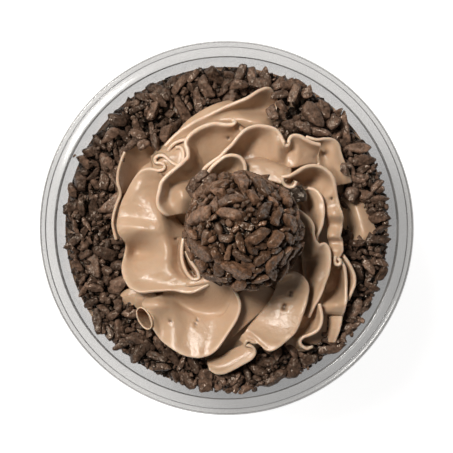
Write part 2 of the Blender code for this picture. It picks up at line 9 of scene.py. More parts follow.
import bpy
import numpy as np
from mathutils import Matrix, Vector


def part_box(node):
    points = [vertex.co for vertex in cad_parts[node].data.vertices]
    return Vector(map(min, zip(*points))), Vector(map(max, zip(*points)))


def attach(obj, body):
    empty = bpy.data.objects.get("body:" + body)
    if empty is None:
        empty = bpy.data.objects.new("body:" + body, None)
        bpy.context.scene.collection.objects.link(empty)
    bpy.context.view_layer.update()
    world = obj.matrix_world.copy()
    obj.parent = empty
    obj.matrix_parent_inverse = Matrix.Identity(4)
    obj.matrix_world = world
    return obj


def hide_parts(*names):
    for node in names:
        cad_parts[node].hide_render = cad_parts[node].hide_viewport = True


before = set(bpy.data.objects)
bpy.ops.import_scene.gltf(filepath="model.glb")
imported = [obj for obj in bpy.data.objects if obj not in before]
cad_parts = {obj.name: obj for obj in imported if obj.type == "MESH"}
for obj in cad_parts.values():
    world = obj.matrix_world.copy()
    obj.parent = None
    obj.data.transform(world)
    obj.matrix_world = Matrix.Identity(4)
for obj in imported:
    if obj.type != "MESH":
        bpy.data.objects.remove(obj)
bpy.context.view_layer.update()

MM = 0.001
cup_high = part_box("cup")[1]
RIM = cup_high[2] / MM
RIM_RADIUS = cup_high[0] / MM
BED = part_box("cream_bed")[1][2] / MM
CAKE_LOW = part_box("cake")[0][2] / MM
CAKE_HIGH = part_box("cake")[1][2] / MM
ball_low, ball_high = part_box("brigadeiro")
BALL_RADIUS = 14.4
# The ball's centre lies a little nearer to the front than the solid's, at a height over the rim.
BALL_FORWARD = 1.0
BALL_HEIGHT = 14.0
BALL = (np.array(ball_low) + np.array(ball_high)) / 2 / MM
BALL[1:] = BALL[1] - BALL_FORWARD, RIM + BALL_HEIGHT
# The camera's height over the rim, and the side of the square that it sees there.
CAMERA_HEIGHT = 320.0
FIELD = 114.6
# The cream and the placed flakes are moved by this, which fits the photo better than the solids' own place.
ASIDE = np.array((0.0, -0.6, 0.0))
# Steps round each turned piece.
SIDES = 160


# Arrays

def unit(vectors):
    """Vectors made one long."""
    return vectors / np.maximum(np.linalg.norm(vectors, axis=-1, keepdims=True), 1e-9)


def angles(count):
    """Even angles all the way round."""
    return np.arange(count) * 2 * math.pi / count


def round_axis(radius, height, sides=SIDES):
    """Points all round the axis, for rows of radii and heights."""
    turn = angles(sides)
    return np.stack(np.broadcast_arrays(radius * np.cos(turn), radius * np.sin(turn), height), -1)


def apart_from(points, spot):
    """How far points lie from a spot, seen from above."""
    return np.hypot(points[:, 0] - spot[0], points[:, 1] - spot[1])


def way_along(points, power=1.0):
    """How far each point lies along a row of points, with each step raised to a power."""
    steps = np.linalg.norm(np.diff(points, axis=0), axis=1) ** power
    return np.concatenate([[0], np.cumsum(steps)])


def settle(points):
    """Points given where the camera sees them at the rim's height, moved to where they lie."""
    points[..., :2] *= 1 - points[..., 2:] / CAMERA_HEIGHT
    return points + ASIDE + (0, 0, RIM)


def lumps(points, scale, seed):
    """Smooth uneven values, mostly from -1 to 1, at the points, about "scale" mm across."""
    rng = np.random.default_rng(seed)
    total = np.zeros(len(points))
    for _ in range(7):
        way = unit(rng.normal(size=3))
        side = np.cross(way, unit(rng.normal(size=3)))
        bend = rng.uniform(0, 6.28, 2)
        pitch = 6.28 / scale * rng.uniform(0.6, 1.5)
        total += np.sin(points @ way * pitch + bend[0] + 1.3 * np.sin(points @ side * pitch * 0.7 + bend[1]))
    return total / 4.0


# Meshes

def add_object(name, data):
    made = bpy.data.objects.new(name, data)
    bpy.context.scene.collection.objects.link(made)
    return made


def make_piece(name, points, faces, look, **fields):
    """A mesh object from arrays of points (mm) and of quads or triangles, with per-point fields."""
    mesh = bpy.data.meshes.new(name)
    mesh.vertices.add(len(points))
    mesh.vertices.foreach_set("co", (np.asarray(points) * MM).astype(np.float32).ravel())
    groups = faces if isinstance(faces, list) else [faces]
    corners = np.concatenate([g.ravel() for g in groups])
    sizes = np.concatenate([np.full(len(g), g.shape[1]) for g in groups])
    mesh.loops.add(len(corners))
    mesh.loops.foreach_set("vertex_index", corners.astype(np.int32))
    mesh.polygons.add(len(sizes))
    mesh.polygons.foreach_set("loop_start", (np.cumsum(sizes) - sizes).astype(np.int32))
    mesh.polygons.foreach_set("use_smooth", np.full(len(sizes), True))
    for name_of_field, values in fields.items():
        made = mesh.attributes.new(name_of_field, "FLOAT", "POINT")
        made.data.foreach_set("value", np.asarray(values, dtype=np.float32))
    mesh.update(calc_edges=True)
    mesh.validate()
    mesh.materials.append(look)
    return add_object(name, mesh)


def put(piece, node):
    """Hangs a piece under the root and hides the solid that it stands for."""
    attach(piece, "root")
    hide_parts(node)


def grid_faces(rows, columns, start=0, closed=False):
    """Quads of a grid of points, rows by columns, with the columns joined round if closed."""
    i = start + np.arange(rows - 1)[:, None] * columns
    j = np.arange(columns if closed else columns - 1)
    k = (j + 1) % columns
    return np.stack([i + j, i + k, i + columns + k, i + columns + j], -1).reshape(-1, 4)


def lathe(name, outline, look, shake=None, **fields):
    """A turned piece of (radius, height) rows, with fields given row by row."""
    radius, height = np.array(outline).T[:, :, None]
    points = round_axis(np.maximum(radius, 0.02), height).reshape(-1, 3)
    if shake:
        shake(points)
    rows = {field: np.repeat(values, SIDES) for field, values in fields.items()}
    return make_piece(name, points, grid_faces(len(outline), SIDES, closed=True), look, **rows)


# Materials

def plug(tree, value, socket):
    """Gives a socket a number, a colour, a vector or another node's output."""
    if isinstance(value, bpy.types.NodeSocket):
        tree.links.new(value, socket)
    else:
        socket.default_value = (*value, 1.0) if socket.type == "RGBA" else value


def add_node(tree, kind, **settings):
    """A new node, with its sockets and its own properties set by name."""
    made = tree.nodes.new("ShaderNode" + kind)
    for name, value in settings.items():
        if name in made.inputs:
            plug(tree, value, made.inputs[name])
        else:
            setattr(made, name, value)
    return made


def new_material(name):
    """A material and its node tree."""
    made = bpy.data.materials.new(name)
    made.use_nodes = True
    return made, made.node_tree


def set_shader(tree, **settings):
    """Sets the shader's sockets, with _ for each space in their names."""
    for name, value in settings.items():
        plug(tree, value, tree.nodes["Principled BSDF"].inputs[name.replace("_", " ")])


def place(tree):
    """Where a point lies in the piece's own space."""
    return add_node(tree, "TexCoord").outputs["Object"]


def noise(tree, scale, detail=2.0, rough=0.5):
    made = add_node(tree, "TexNoise", Vector=place(tree), Scale=scale, Detail=detail, Roughness=rough)
    return made.outputs["Fac"]


def ramp(tree, value, stops):
    """Colours from a value, by stops of (position, colour)."""
    made = add_node(tree, "ValToRGB", Fac=value)
    elements = made.color_ramp.elements
    while len(elements) < len(stops):
        elements.new(0.5)
    for element, (position, colour) in zip(elements, stops):
        element.position = position
        element.color = (*colour, 1.0)
    return made.outputs["Color"]


def mix(tree, share, first, second, blend="MIX"):
    """A mix of two colours. Sockets 0, 6 and 7 are the mix node's factor and its colours."""
    made = add_node(tree, "Mix", data_type="RGBA", blend_type=blend)
    for value, index in ((share, 0), (first, 6), (second, 7)):
        plug(tree, value, made.inputs[index])
    return made.outputs[2]


def bump(tree, height, strength, distance, **settings):
    made = add_node(tree, "Bump", Height=height, Strength=strength, Distance=distance, **settings)
    return made.outputs["Normal"]


def field(tree, name):
    """The value of one of a piece's per-point fields."""
    return add_node(tree, "Attribute", attribute_name=name).outputs["Fac"]


def vector_math(tree, operation, *values, **settings):
    made = add_node(tree, "VectorMath", operation=operation, **settings)
    for value, socket in zip(values, made.inputs):
        plug(tree, value, socket)
    return made.outputs[0]


def facets(tree, scale, spread):
    """A normal turned at random in each cell of a fine pattern, and a random colour for the cell."""
    draw = add_node(tree, "TexVoronoi", Vector=place(tree), Scale=scale).outputs["Color"]
    centred = vector_math(tree, "SUBTRACT", draw, (0.5, 0.5, 0.5))
    turned = vector_math(tree, "SCALE", centred, Scale=spread)
    normal = add_node(tree, "NewGeometry").outputs["Normal"]
    return vector_math(tree, "NORMALIZE", vector_math(tree, "ADD", turned, normal)), draw


def cream_look(name, low, high, lip):
    """Soft cream in uneven tones, with painted light on its lips and painted shade in its pits."""
    made, tree = new_material(name)
    tone = ramp(tree, noise(tree, 90.0, 3.0), [(0.3, low), (0.7, high)])
    # Painted light: the lips are mixed towards the paler lip colour, as if lit through their thin edges.
    colour = mix(tree, field(tree, "lip"), tone, lip)
    # Painted shade: the pits are mixed towards a dark brown.
    colour = mix(tree, field(tree, "pit"), colour, (0.10, 0.055, 0.032))
    set_shader(tree, Base_Color=colour, Roughness=0.27, Subsurface_Weight=0.35,
               Subsurface_Radius=(0.9, 0.5, 0.3), Subsurface_Scale=0.0012,
               Normal=bump(tree, noise(tree, 1100.0, 5.0, 0.65), 0.28, 0.0005))
    return made


def chocolate_look(name, dark, light, rough, matte=0.40, cells=1900.0, spread=0.6):
    """Rough dark chocolate whose broken skin glints in small points, with a share of matte ones; low tones
    are painted shade.
    """
    made, tree = new_material(name)
    tone = ramp(tree, field(tree, "tone"), [(0.0, dark), (1.0, light)])
    dust = ramp(tree, noise(tree, 800.0, 5.0, 0.65),
                [(0.34, (0.45, 0.43, 0.41)), (0.52, (1.0, 1.0, 1.0)), (0.70, (1.8, 1.76, 1.72))])
    turned, draw = facets(tree, cells, spread)
    set_shader(tree, Base_Color=mix(tree, 1.0, tone, dust, "MULTIPLY"),
               Roughness=ramp(tree, draw, [(matte, (rough,) * 3), (matte + 0.03, (0.16,) * 3)]),
               Specular_Tint=(1.0, 0.86, 0.72),
               Normal=bump(tree, noise(tree, 1500.0, 4.0, 0.7), 0.35, 0.0005, Normal=turned))
    return made


def cake_look():
    made, tree = new_material("cake_crumb")
    crumb = noise(tree, 500.0, 5.0, 0.7)
    colour = ramp(tree, crumb, [(0.35, (0.030, 0.012, 0.006)), (0.65, (0.15, 0.066, 0.033))])
    set_shader(tree, Base_Color=colour, Roughness=0.8, Normal=bump(tree, crumb, 0.8, 0.001))
    return made


def plastic_look():
    """Clear plastic with some haze in the rim, and painted shade along lines where the rim is folded."""
    made, tree = new_material("milky_plastic")
    haze = ramp(tree, noise(tree, 45.0, 3.0), [(0.3, (0.15, 0.147, 0.140)), (0.7, (0.23, 0.225, 0.216))])
    colour = mix(tree, field(tree, "clear"), haze, (0.045, 0.0436, 0.0415))
    # Painted shade: the edge field darkens the groove and the fold inside the flange's lip.
    colour = mix(tree, field(tree, "edge"), colour, (0.012, 0.0115, 0.011))
    set_shader(tree, Base_Color=colour, Roughness=0.14, IOR=1.49, Specular_IOR_Level=0.6, Alpha=0.46,
               Normal=bump(tree, noise(tree, 150.0, 3.0), 0.12, 0.0004))
    return made


def fold_shade_look():
    # Grey and half see-through: painted shade for the dark lines of the folded rim.
    made, tree = new_material("plastic_fold_shade")
    grey = ramp(tree, noise(tree, 120.0), [(0.35, (0.14, 0.136, 0.13)), (0.65, (0.40, 0.39, 0.38))])
    set_shader(tree, Base_Color=grey, Roughness=0.2, Alpha=0.62)
    return made


# Cup and filling

# The wall's thickness, its outer radius at the base and its inner radius at the rim.
WALL = 0.8
BASE_RADIUS = 32.5
WALL_TOP = 43.3
BASE_THICK = 1.0
BASE_HOLLOW = 0.25
HEEL = 1.3
# The flat flange lies under the bead's top, and the bead is the round edge outside it.
FLANGE_DEPTH = 0.45
FLANGE_THICK = 1.1
FLANGE_INNER = 43.9
FILLET = 0.7
BEAD = 1.5
# The groove between bead and flange: how far in from the bead, how far under the flange.
GROOVE = ((0.05, 0.32), (0.18, 0.36), (0.34, 0.24), (0.55, 0.12), (1.2, -0.06))
# Painted shade: dark see-through rings that stand for the dark lines where the plastic is folded: radius,
# depth under the rim, half thickness.
FOLD_SHADES = ((RIM_RADIUS - 0.32, 1.45, 0.14), (RIM_RADIUS - 1.55, 1.2, 0.14), (FLANGE_INNER - 0.42, 1.25, 0.34))
FOLD_SIDES = 8
# How far cake and cream reach over and under the cake's own box, so that they overlap.
OVERLAP = 0.3
# How far the filling reaches into the wall, so that no air shows between them.
REACH = 0.12


def wall_radius(height):
    """Radius of the wall's inner face."""
    return BASE_RADIUS - WALL + (WALL_TOP + WALL - BASE_RADIUS) * height / RIM


def arc(x, y, radius, start, end, count):
    """Points of an arc, angles in degrees."""
    return [(x + radius * math.cos(math.radians(a)), y + radius * math.sin(math.radians(a)))
            for a in np.linspace(start, end, count)]


def build_cup():
    band = RIM - FLANGE_DEPTH
    under = band - FLANGE_THICK
    groove = RIM_RADIUS - BEAD
    bead_middle = RIM_RADIUS - BEAD / 2
    outline = [(0.0, BASE_HOLLOW), (BASE_RADIUS - 4.0, BASE_HOLLOW)]
    outline += [(BASE_RADIUS - 3.2, 0.0), (BASE_RADIUS - HEEL, 0.0)]
    outline += arc(BASE_RADIUS - HEEL, HEEL, HEEL, -80, -5, 6)
    outline += [(wall_radius(h) + WALL, h) for h in np.linspace(2.0, under - 0.9, 12)]
    outline += arc(wall_radius(under) + WALL + FILLET, under - FILLET, FILLET, 180, 95, 5)
    flange_row = len(outline)
    outline += [(groove - 0.2, under)]
    outline += arc(bead_middle, RIM - BEAD, FILLET, 205, 350, 6)
    outline += arc(bead_middle, RIM - BEAD / 2, BEAD / 2, 0, 160, 12)
    groove_row = len(outline)
    outline += [(groove - inward, band - down) for inward, down in GROOVE]
    outline += [(FLANGE_INNER + 0.5, band + 0.12)]
    lip_row = len(outline)
    outline += arc(FLANGE_INNER - 0.06, band - 0.38, 0.55, 75, 175, 7)
    outline += [(wall_radius(h), h) for h in np.linspace(under - 1.0, 2.6, 14)]
    outline += [(wall_radius(BASE_THICK) - 1.5, BASE_THICK), (0.0, BASE_THICK)]
    # edge marks painted shade along the groove and the fold inside the flange's lip.
    edge = np.zeros(len(outline))
    edge[groove_row:groove_row + 3] = (0.5, 0.9, 0.3)
    edge[lip_row + 3:lip_row + 8] = (0.3, 0.8, 1.0, 0.9, 0.3)
    clear = np.ones(len(outline))
    clear[flange_row:lip_row + 6] = 0.0
    put(lathe("cup_shell", outline, plastic_look(), edge=edge, clear=clear), "cup")


def build_fold_shades():
    look = fold_shade_look()
    swell = 0.45 + 0.55 * np.cos(angles(SIDES)) ** 2
    around = angles(FOLD_SIDES)[:, None]
    for k, (radius, depth, thick) in enumerate(FOLD_SHADES):
        half = thick * swell
        points = round_axis(radius + half * np.cos(around), RIM - depth + half * np.sin(around))
        faces = grid_faces(FOLD_SIDES + 1, SIDES, closed=True) % (FOLD_SIDES * SIDES)
        put(make_piece(f"fold_shade_line_{k}", points.reshape(-1, 3), faces, look), "cup")


def roughen_side(points):
    """Draws the side of the filling in unevenly, and less than it reaches into the wall."""
    far = np.hypot(points[:, 0], points[:, 1])
    shift = np.minimum(np.abs(0.05 * lumps(points, 2.2, 4) + 0.05 * lumps(points, 5.0, 8)), REACH - 0.03)
    points[:, :2] *= (1 - np.where(far > 5, shift, 0) / np.maximum(far, 1))[:, None]


def build_filling():
    low, high = CAKE_LOW - OVERLAP, CAKE_HIGH + OVERLAP
    side = [(wall_radius(h) + REACH, h) for h in np.linspace(low + 1.4, high, 16)]
    outline = [(0.0, low), (wall_radius(low) - 1.4, low)] + side + [(0.0, high)]
    put(lathe("cake_body", outline, cake_look(), roughen_side), "cake")
    # The last colour is the lips' painted light. The bed's pieces have no lip field, so they don't show it.
    look = cream_look("bed_cream", (0.36, 0.235, 0.155), (0.44, 0.295, 0.20), (0.5, 0.36, 0.25))
    side = [(wall_radius(h) + REACH, h) for h in np.linspace(high, BED, 6)]
    top = [(r, BED + 0.15 * math.sin(r * 0.9)) for r in np.linspace(wall_radius(BED) - 0.8, 2.0, 16)]
    outline = [(0.0, high)] + side + top + [(0.0, BED)]
    put(lathe("cream_layer", outline, look, roughen_side), "cream_bed")


# Swirl
#
# Each sheet of cream is laid over ribs of points (x, y, height over the rim), from its root
# out to its lip. A single point between the ribs shapes the lip alone.

# A sheet's thickness at its lip and at its root, and the power by which it thins between them.
LIP = 0.78
ROOT = 2.4
THINNING = 1.3
SHEET_STEP = 0.36
# Share of the lips' painted light on the last points of a sheet's face.
LIP_LIGHT_FADE = (0.35, 0.7)
SHEETS = {}


def sheet(name, *ribs, lip_light=(1,), thick=LIP, root=ROOT, low=False):
    """Notes a sheet of cream. Its first keyword is how much painted light its lip takes, spread evenly along
    it; thick and root are its thickness at the lip and at the root, and low is for one that flakes may lie
    on."""
    SHEETS[name] = (ribs, lip_light, thick, root, low)


sheet(
    "low_left",
    ((-15.5, 17.5, -4), (-16.8, 18.6, -3.6), (-18.4, 20, -1.6), (-20, 21.8, 1.4)),
    ((-18.6, 13.5, -6.5), (-20.4, 15.8, -5.4), (-22.4, 18.2, -2), (-24.4, 20.9, 2.6)),
    ((-22.4, 11, -7), (-23.6, 12.4, -5.8), (-25, 13.9, -2.6), (-26.8, 15.8, 2.4)),
    ((-24.2, 8.4, -7), (-25, 9.4, -5.8), (-26, 10.6, -3), (-27.2, 12.2, 1)),
    (-26.4, 9.2, -0.2),
    ((-25.6, 5.4, -6), (-26.2, 5.6, -5), (-26.8, 5.8, -3.6), (-27.6, 6, -1.4)),
    ((-26.4, 2, -5.4), (-26.9, 2, -4.6), (-27.5, 2, -3.4), (-28.4, 2, -1.4)),
    ((-26, -2, -5), (-26.4, -2.1, -4.2), (-26.9, -2.2, -3.4), (-27.6, -2.4, -2)),
    lip_light=(0, 0, 0.7, 0.6, 0.5),
)
sheet(
    "top_foot",
    ((-12, 19.5, -1), (-13, 20.6, -1.8), (-14.2, 22, -4)),
    ((-8, 23, 0.4), (-9.2, 24.8, -0.4), (-10.6, 27, -2.6)),
    ((-4, 26, 0.4), (-5, 27.8, 0), (-6.2, 30.2, -2)),
    ((0, 28.2, 0.4), (-0.9, 30, 0), (-2, 32.2, -2)),
    ((3, 30, -0.5), (2.4, 31.4, -2), (1.6, 33, -4)),
    lip_light=(0,), low=True,
)
sheet(
    "top_outer",
    ((-12.6, 19.8, 3), (-13.4, 20.3, 2.4), (-14.4, 20.8, 2.2), (-15.4, 21.2, 2.6)),
    ((-9.6, 21.6, 0), (-10.6, 23, 2), (-11.4, 23.8, 2.4), (-12.2, 24.4, 2.8)),
    ((-5, 23, -2), (-6.6, 25.4, 1.2), (-7.4, 26.2, 2), (-8.2, 27, 2.6)),
    ((0, 24.4, -2), (-1.6, 27.2, 1.2), (-2.6, 28.6, 1.6), (-3.4, 29.3, 2.4)),
    ((4.5, 24.6, 0), (3.6, 28, 2.4), (2, 30.2, 0), (1, 31.2, 2.4)),
    ((7.8, 24, 0), (6.8, 27.6, 3), (6, 30.6, -2.2), (5.4, 33, 3)),
    ((10, 23.4, 0), (9.2, 27.4, 2.4), (8.7, 31, -3.4), (8.9, 35.1, 2)),
    (10.6, 35.5, 1),
    ((11.6, 23.4, 1), (11.2, 27.4, 0), (11, 31, -4.4), (11.9, 34.8, -0.4)),
    ((13.2, 23, -1), (12.8, 26.4, -3), (12.6, 30, -6), (12.9, 33.4, -4)),
    lip_light=(0.9, 0.9, 0.9, 0.8, 0.8, 0.6, 0), thick=0.95,
)
sheet(
    "top_right",
    ((19, 20, 1), (19.3, 21.2, 0.8), (19.7, 22.4, 1.2), (20, 23.4, 2)),
    (22.8, 22.6, 2),
    ((23, 19.5, 1), (24, 20.3, -1.4), (24.6, 21.6, -0.4), (25, 22.8, 1.4)),
    (27.2, 22.6, 0.6),
    ((23.4, 17.2, 0.5), (24.9, 18.2, -1.2), (26.8, 19.9, 0), (28.5, 21.5, 0)),
    (28.9, 19.7, -0.4),
    ((23.6, 15.2, 0.5), (25.4, 15.8, -1.6), (27.4, 16.8, -0.6), (29.4, 18, -0.8)),
    ((25.4, 13.5, -1), (26.8, 13.8, -3.4), (28.8, 14.4, -1), (30.8, 15, -2)),
    ((27, 11, -3), (28, 11.2, -4.4), (29.8, 11.6, -2.6), (31.6, 12, -3.4)),
)
sheet(
    "bare_right",
    ((29.2, 8.4, -5), (30.4, 8.6, -6), (32, 9, -5.6), (33.4, 9.6, -6.4)),
    ((29.4, 5, -4.6), (30.8, 5, -6.4), (33, 5.2, -4.4), (35.8, 5.4, -5.6)),
    ((29.6, 1.6, -4.6), (31, 1.6, -6.6), (34, 1.6, -3.6), (37.2, 1.6, -5)),
    ((29.6, -1.6, -4.6), (31, -1.6, -6.6), (34.4, -1.8, -3.6), (38, -1.6, -4.6)),
    ((29.8, -4, -5), (31, -4, -6.4), (33.4, -4, -5), (35.8, -3.8, -6)),
    lip_light=(0,), low=True,
)
sheet(
    "foot",
    ((-20, -13.5, 0), (-21, -14.4, -0.6), (-22.4, -15.4, -1.8), (-23.8, -16.4, -4)),
    ((-18.5, -15.5, 0.4), (-20.2, -16.4, 0), (-21.8, -17.4, -1), (-23.4, -18.8, -3.6)),
    ((-17, -17, 0), (-18.6, -18, -0.4), (-20, -19.2, -1.8), (-21.6, -20.8, -4)),
    lip_light=(0,),
)
sheet(
    "foot_wedge",
    ((-22.6, -14.4, -2.6), (-24.4, -14.7, -3), (-26, -15.2, -4.2)),
    ((-22.4, -16.4, -2.4), (-24.8, -16.6, -2.8), (-27.4, -17, -4.4)),
    ((-21.6, -18.8, -3), (-23.8, -19, -3.6), (-25.6, -19.4, -5.2)),
    lip_light=(0,), low=True,
)
sheet(
    "bottom_small",
    ((3.4, -28, 0), (4, -28.6, 0.8), (4.6, -29.3, 1.8)),
    ((4, -28.8, 0.2), (5.4, -29.4, 1), (6.6, -30, 1.7)),
    (7.1, -31, 1.3),
    ((2.4, -29.6, -1.6), (4.4, -31, 0.6), (6.2, -32.4, 1.2)),
    ((0.6, -30.4, -2.6), (2.2, -32, 0.2), (3.7, -33.9, 0.8)),
    ((-1, -31.4, -3), (0.2, -33.3, 0), (1.1, -35.3, 0.4)),
    (-1, -36.2, -0.2),
    ((-3.8, -32.4, -3.4), (-3.2, -34.2, -0.6), (-2.9, -36.1, -0.6)),
    ((-5, -32.8, -3.4), (-4.8, -33.8, -1.8), (-4.5, -35, -1.2)),
)
sheet(
    "right_edge",
    ((27.6, -6.6, 0), (28.4, -6.6, 0.8), (29.2, -6.4, 2.6)),
    ((29, -9.2, -2), (29.8, -9, -0.6), (30.7, -8.6, 2.2)),
    ((29.8, -11.4, -2.6), (30.8, -11.3, -1.2), (31.9, -11.1, 1.4)),
    ((29.8, -13.4, -3), (30.8, -13.4, -1.6), (32.1, -13.3, 1)),
    ((29.6, -15.4, -3), (30.4, -15.4, -1.6), (31.3, -15.7, 0.6)),
    ((29.4, -17, -2.6), (29.8, -17.2, -1.6), (30.4, -17.6, 0)),
)
sheet(
    "right_low",
    ((26, -6, 2), (26.6, -6.4, 1.2), (27.6, -7, 2), (28.4, -7.6, 3.4)),
    ((25.6, -9, 1), (26.4, -9.2, -2.6), (28.2, -9.4, -1.6), (29.5, -9.5, 2.8)),
    ((25.2, -13, 0), (26, -13, -5), (28.4, -13, -4.6), (29.9, -13, 1.8)),
    ((24, -15.8, 0), (25.2, -15.8, -4.6), (28, -15.8, -3.8), (29.9, -15.8, 1.8)),
    ((23.4, -18.6, 0.6), (25, -18.6, 0.6), (27.6, -18.6, 2.8), (30, -18.8, 2.8)),
    ((23.2, -20.4, 0), (25, -20.4, 0.6), (27.4, -20.4, 2), (29.6, -20.6, 2)),
    ((23.2, -21.4, -1.5), (25, -21.4, -1), (27.2, -21.4, 0), (29.2, -21.6, 0.6)),
)
sheet(
    "right_tail",
    ((24, -21.4, -3.4), (25.4, -21.6, -3), (26.8, -21.6, -1.4), (29, -21.4, 0)),
    ((23.8, -24, -3.8), (25.4, -24, -3.4), (26.6, -24, -1.4), (28.6, -23.8, -0.4)),
    ((23.4, -26, -4.2), (25, -26.2, -3.8), (26.4, -26.2, -1.8), (28.1, -26, -1)),
    ((23, -28, -4.6), (24.6, -28.4, -4.2), (25.8, -28.4, -2.8), (27.2, -28.4, -2.2)),
    low=True,
)
sheet(
    "tail_bed",
    ((21.2, -18.6, -1.2), (23, -18.8, -1.4), (25, -19, -1.6)),
    ((20.6, -22, -1.6), (22.8, -22.4, -1.8), (25.2, -22.4, -2.2)),
    ((19.6, -25, -2), (22, -25.8, -2.4), (24.8, -26.2, -3)),
    ((18.4, -28, -3), (20.8, -28.8, -3.2), (23.6, -29, -4)),
    lip_light=(0,), low=True,
)
sheet(
    "right_curl",
    ((20.8, -18.6, 1), (21.6, -18.8, 0.2), (22.4, -18.8, 1.6), (23.2, -18.7, 3.6)),
    ((19.4, -21.6, 1), (20.8, -22, -1.4), (22.6, -22.2, 0.4), (23.8, -22, 3.2)),
    ((18.4, -23.4, 1.4), (19.8, -24, -1.6), (21.8, -24.4, 0.2), (23.3, -24.4, 2.8)),
    (22.4, -25.4, 2.6),
    ((16.8, -25, 1.4), (18, -25.4, -1), (19.6, -26, 0.4), (20.6, -26.2, 2.4)),
    (19.3, -26.7, 2.4),
    ((15.6, -27, 0.6), (16.2, -27.2, -0.8), (17.2, -27.6, 0), (18.3, -28, 2.2)),
    ((15, -29, -2), (16, -29, -2), (17.4, -29, -1), (18.7, -29.3, 1.6)),
    (20.3, -30.3, 1),
    ((16.6, -31, -4), (18.4, -30.8, -3.6), (20.4, -30.6, -2), (21.9, -29.8, 0.4)),
)
sheet(
    "between",
    ((0.4, -24, -0.4), (0.9, -25.4, -0.6), (1.4, -27, -1)),
    ((1.8, -20, 1.2), (3.2, -22, 1), (4.2, -24.4, 0.2)),
    ((2.6, -16.6, 2.6), (5, -18.8, 2), (7.6, -21.4, 0.6)),
    ((4.6, -14.4, 3.2), (7.4, -16.2, 2.8), (10.4, -18.6, 1.2)),
    ((8.4, -13, 3.8), (10.4, -14, 3.8), (12.6, -15.4, 2.4)),
    lip_light=(0,),
)
sheet(
    "bottom_left",
    ((-20.8, -17.2, 0.2), (-21.5, -18.4, 1.6), (-21, -19.7, 2.2), (-18.8, -21.6, 2.4), (-18.6, -25, 0.8)),
    ((-17.2, -16.2, 0), (-17.6, -17.2, 1.6), (-17, -19.2, 3.4), (-16.6, -23.2, 0.7), (-16.2, -28, 0.6)),
    ((-13.6, -14.6, 2), (-14, -16.8, -0.6), (-13.6, -19.6, 1.4), (-13.6, -24.6, 1.4), (-13.8, -29.7, 2.2)),
    ((-10.6, -14.2, 5), (-11, -18.4, -1.8), (-10.8, -21, -0.2), (-10.8, -26, 1), (-10.8, -31.2, 2.5)),
    (-9, -31.7, 2.2),
    ((-7.6, -13.6, 6), (-7.9, -19.6, -1.8), (-7.4, -22.8, -0.2), (-7.2, -27.4, 1.4), (-7.2, -31.9, 2.7)),
    (-5.2, -31.5, 2.5),
    ((-4, -12.8, 7), (-3.8, -20, -1.2), (-3.4, -22.6, 0), (-3, -26, 1.6), (-2.8, -29.9, 3.4)),
    ((-1.4, -12.4, 7), (-0.6, -19.6, 0.2), (-0.6, -21.4, 1.4), (-0.2, -23.2, 2.2), (0.5, -25.2, 3.6)),
    ((0.2, -12.6, 6), (0.6, -17.6, 2.4), (1, -18.8, 2.8), (1.6, -20.2, 3.6), (2.5, -21.8, 4.6)),
    (3.1, -19.3, 5.4),
    ((0.8, -12.6, 6.2), (1, -14.8, 4.6), (1.2, -15.4, 4.6), (1.7, -16, 5), (2.5, -16.9, 6)),
    ((0.6, -12.4, 6.4), (0.7, -13.2, 6), (0.8, -13.8, 6), (1.1, -14.6, 6.2), (1.5, -15.3, 6.4)),
)
sheet(
    "bottom_right",
    ((12.6, -13.8, 4.6), (13, -13.5, 5), (13.2, -13.1, 5.8), (13.5, -12.4, 7.4)),
    (14.9, -11.5, 7.8),
    ((12.2, -15.2, 4.6), (14, -14.4, 5), (16, -12.9, 5.8), (17.2, -11.1, 7.6)),
    (19, -12, 7.6),
    ((11.4, -16.8, 3.8), (14.6, -16.2, 5), (18, -15.2, 6.2), (20.4, -14.2, 7.4)),
    ((10.4, -18.4, 2.8), (14, -18.6, 4.3), (17.6, -18, 5.3), (20.1, -17.4, 6.7)),
    ((8.8, -20.4, 2.6), (12.6, -21, 4.4), (16.2, -21.2, 5.3), (19, -21.1, 6.5)),
    ((7, -22.6, 2.4), (10.4, -24, 4.2), (14, -25, 5.2), (17.2, -25.6, 6)),
    ((5.8, -24, 1.8), (8.6, -25.4, 3.4), (12, -26.9, 4.7), (14.9, -27.9, 5.5)),
    (13, -29.4, 4.6),
    ((5, -25.1, 1.6), (7.2, -26.4, 2.2), (9.6, -28.4, 3.2), (10.8, -30.2, 4.2)),
    (9, -29.4, 3.6),
    ((4.4, -26, 1.6), (5.6, -26.8, 2.4), (6.8, -27.6, 2.6), (7.6, -28.4, 2.8)),
    (6.2, -27.7, 3),
    ((3.7, -26.8, 1.4), (4.2, -27.1, 2), (4.6, -27.4, 2.6), (4.9, -27.9, 3)),
    ((3.2, -27.8, 0.6), (3.6, -28.1, 1.4), (4, -28.5, 2), (4.3, -29.1, 2.4)),
    lip_light=(0.5,),
)
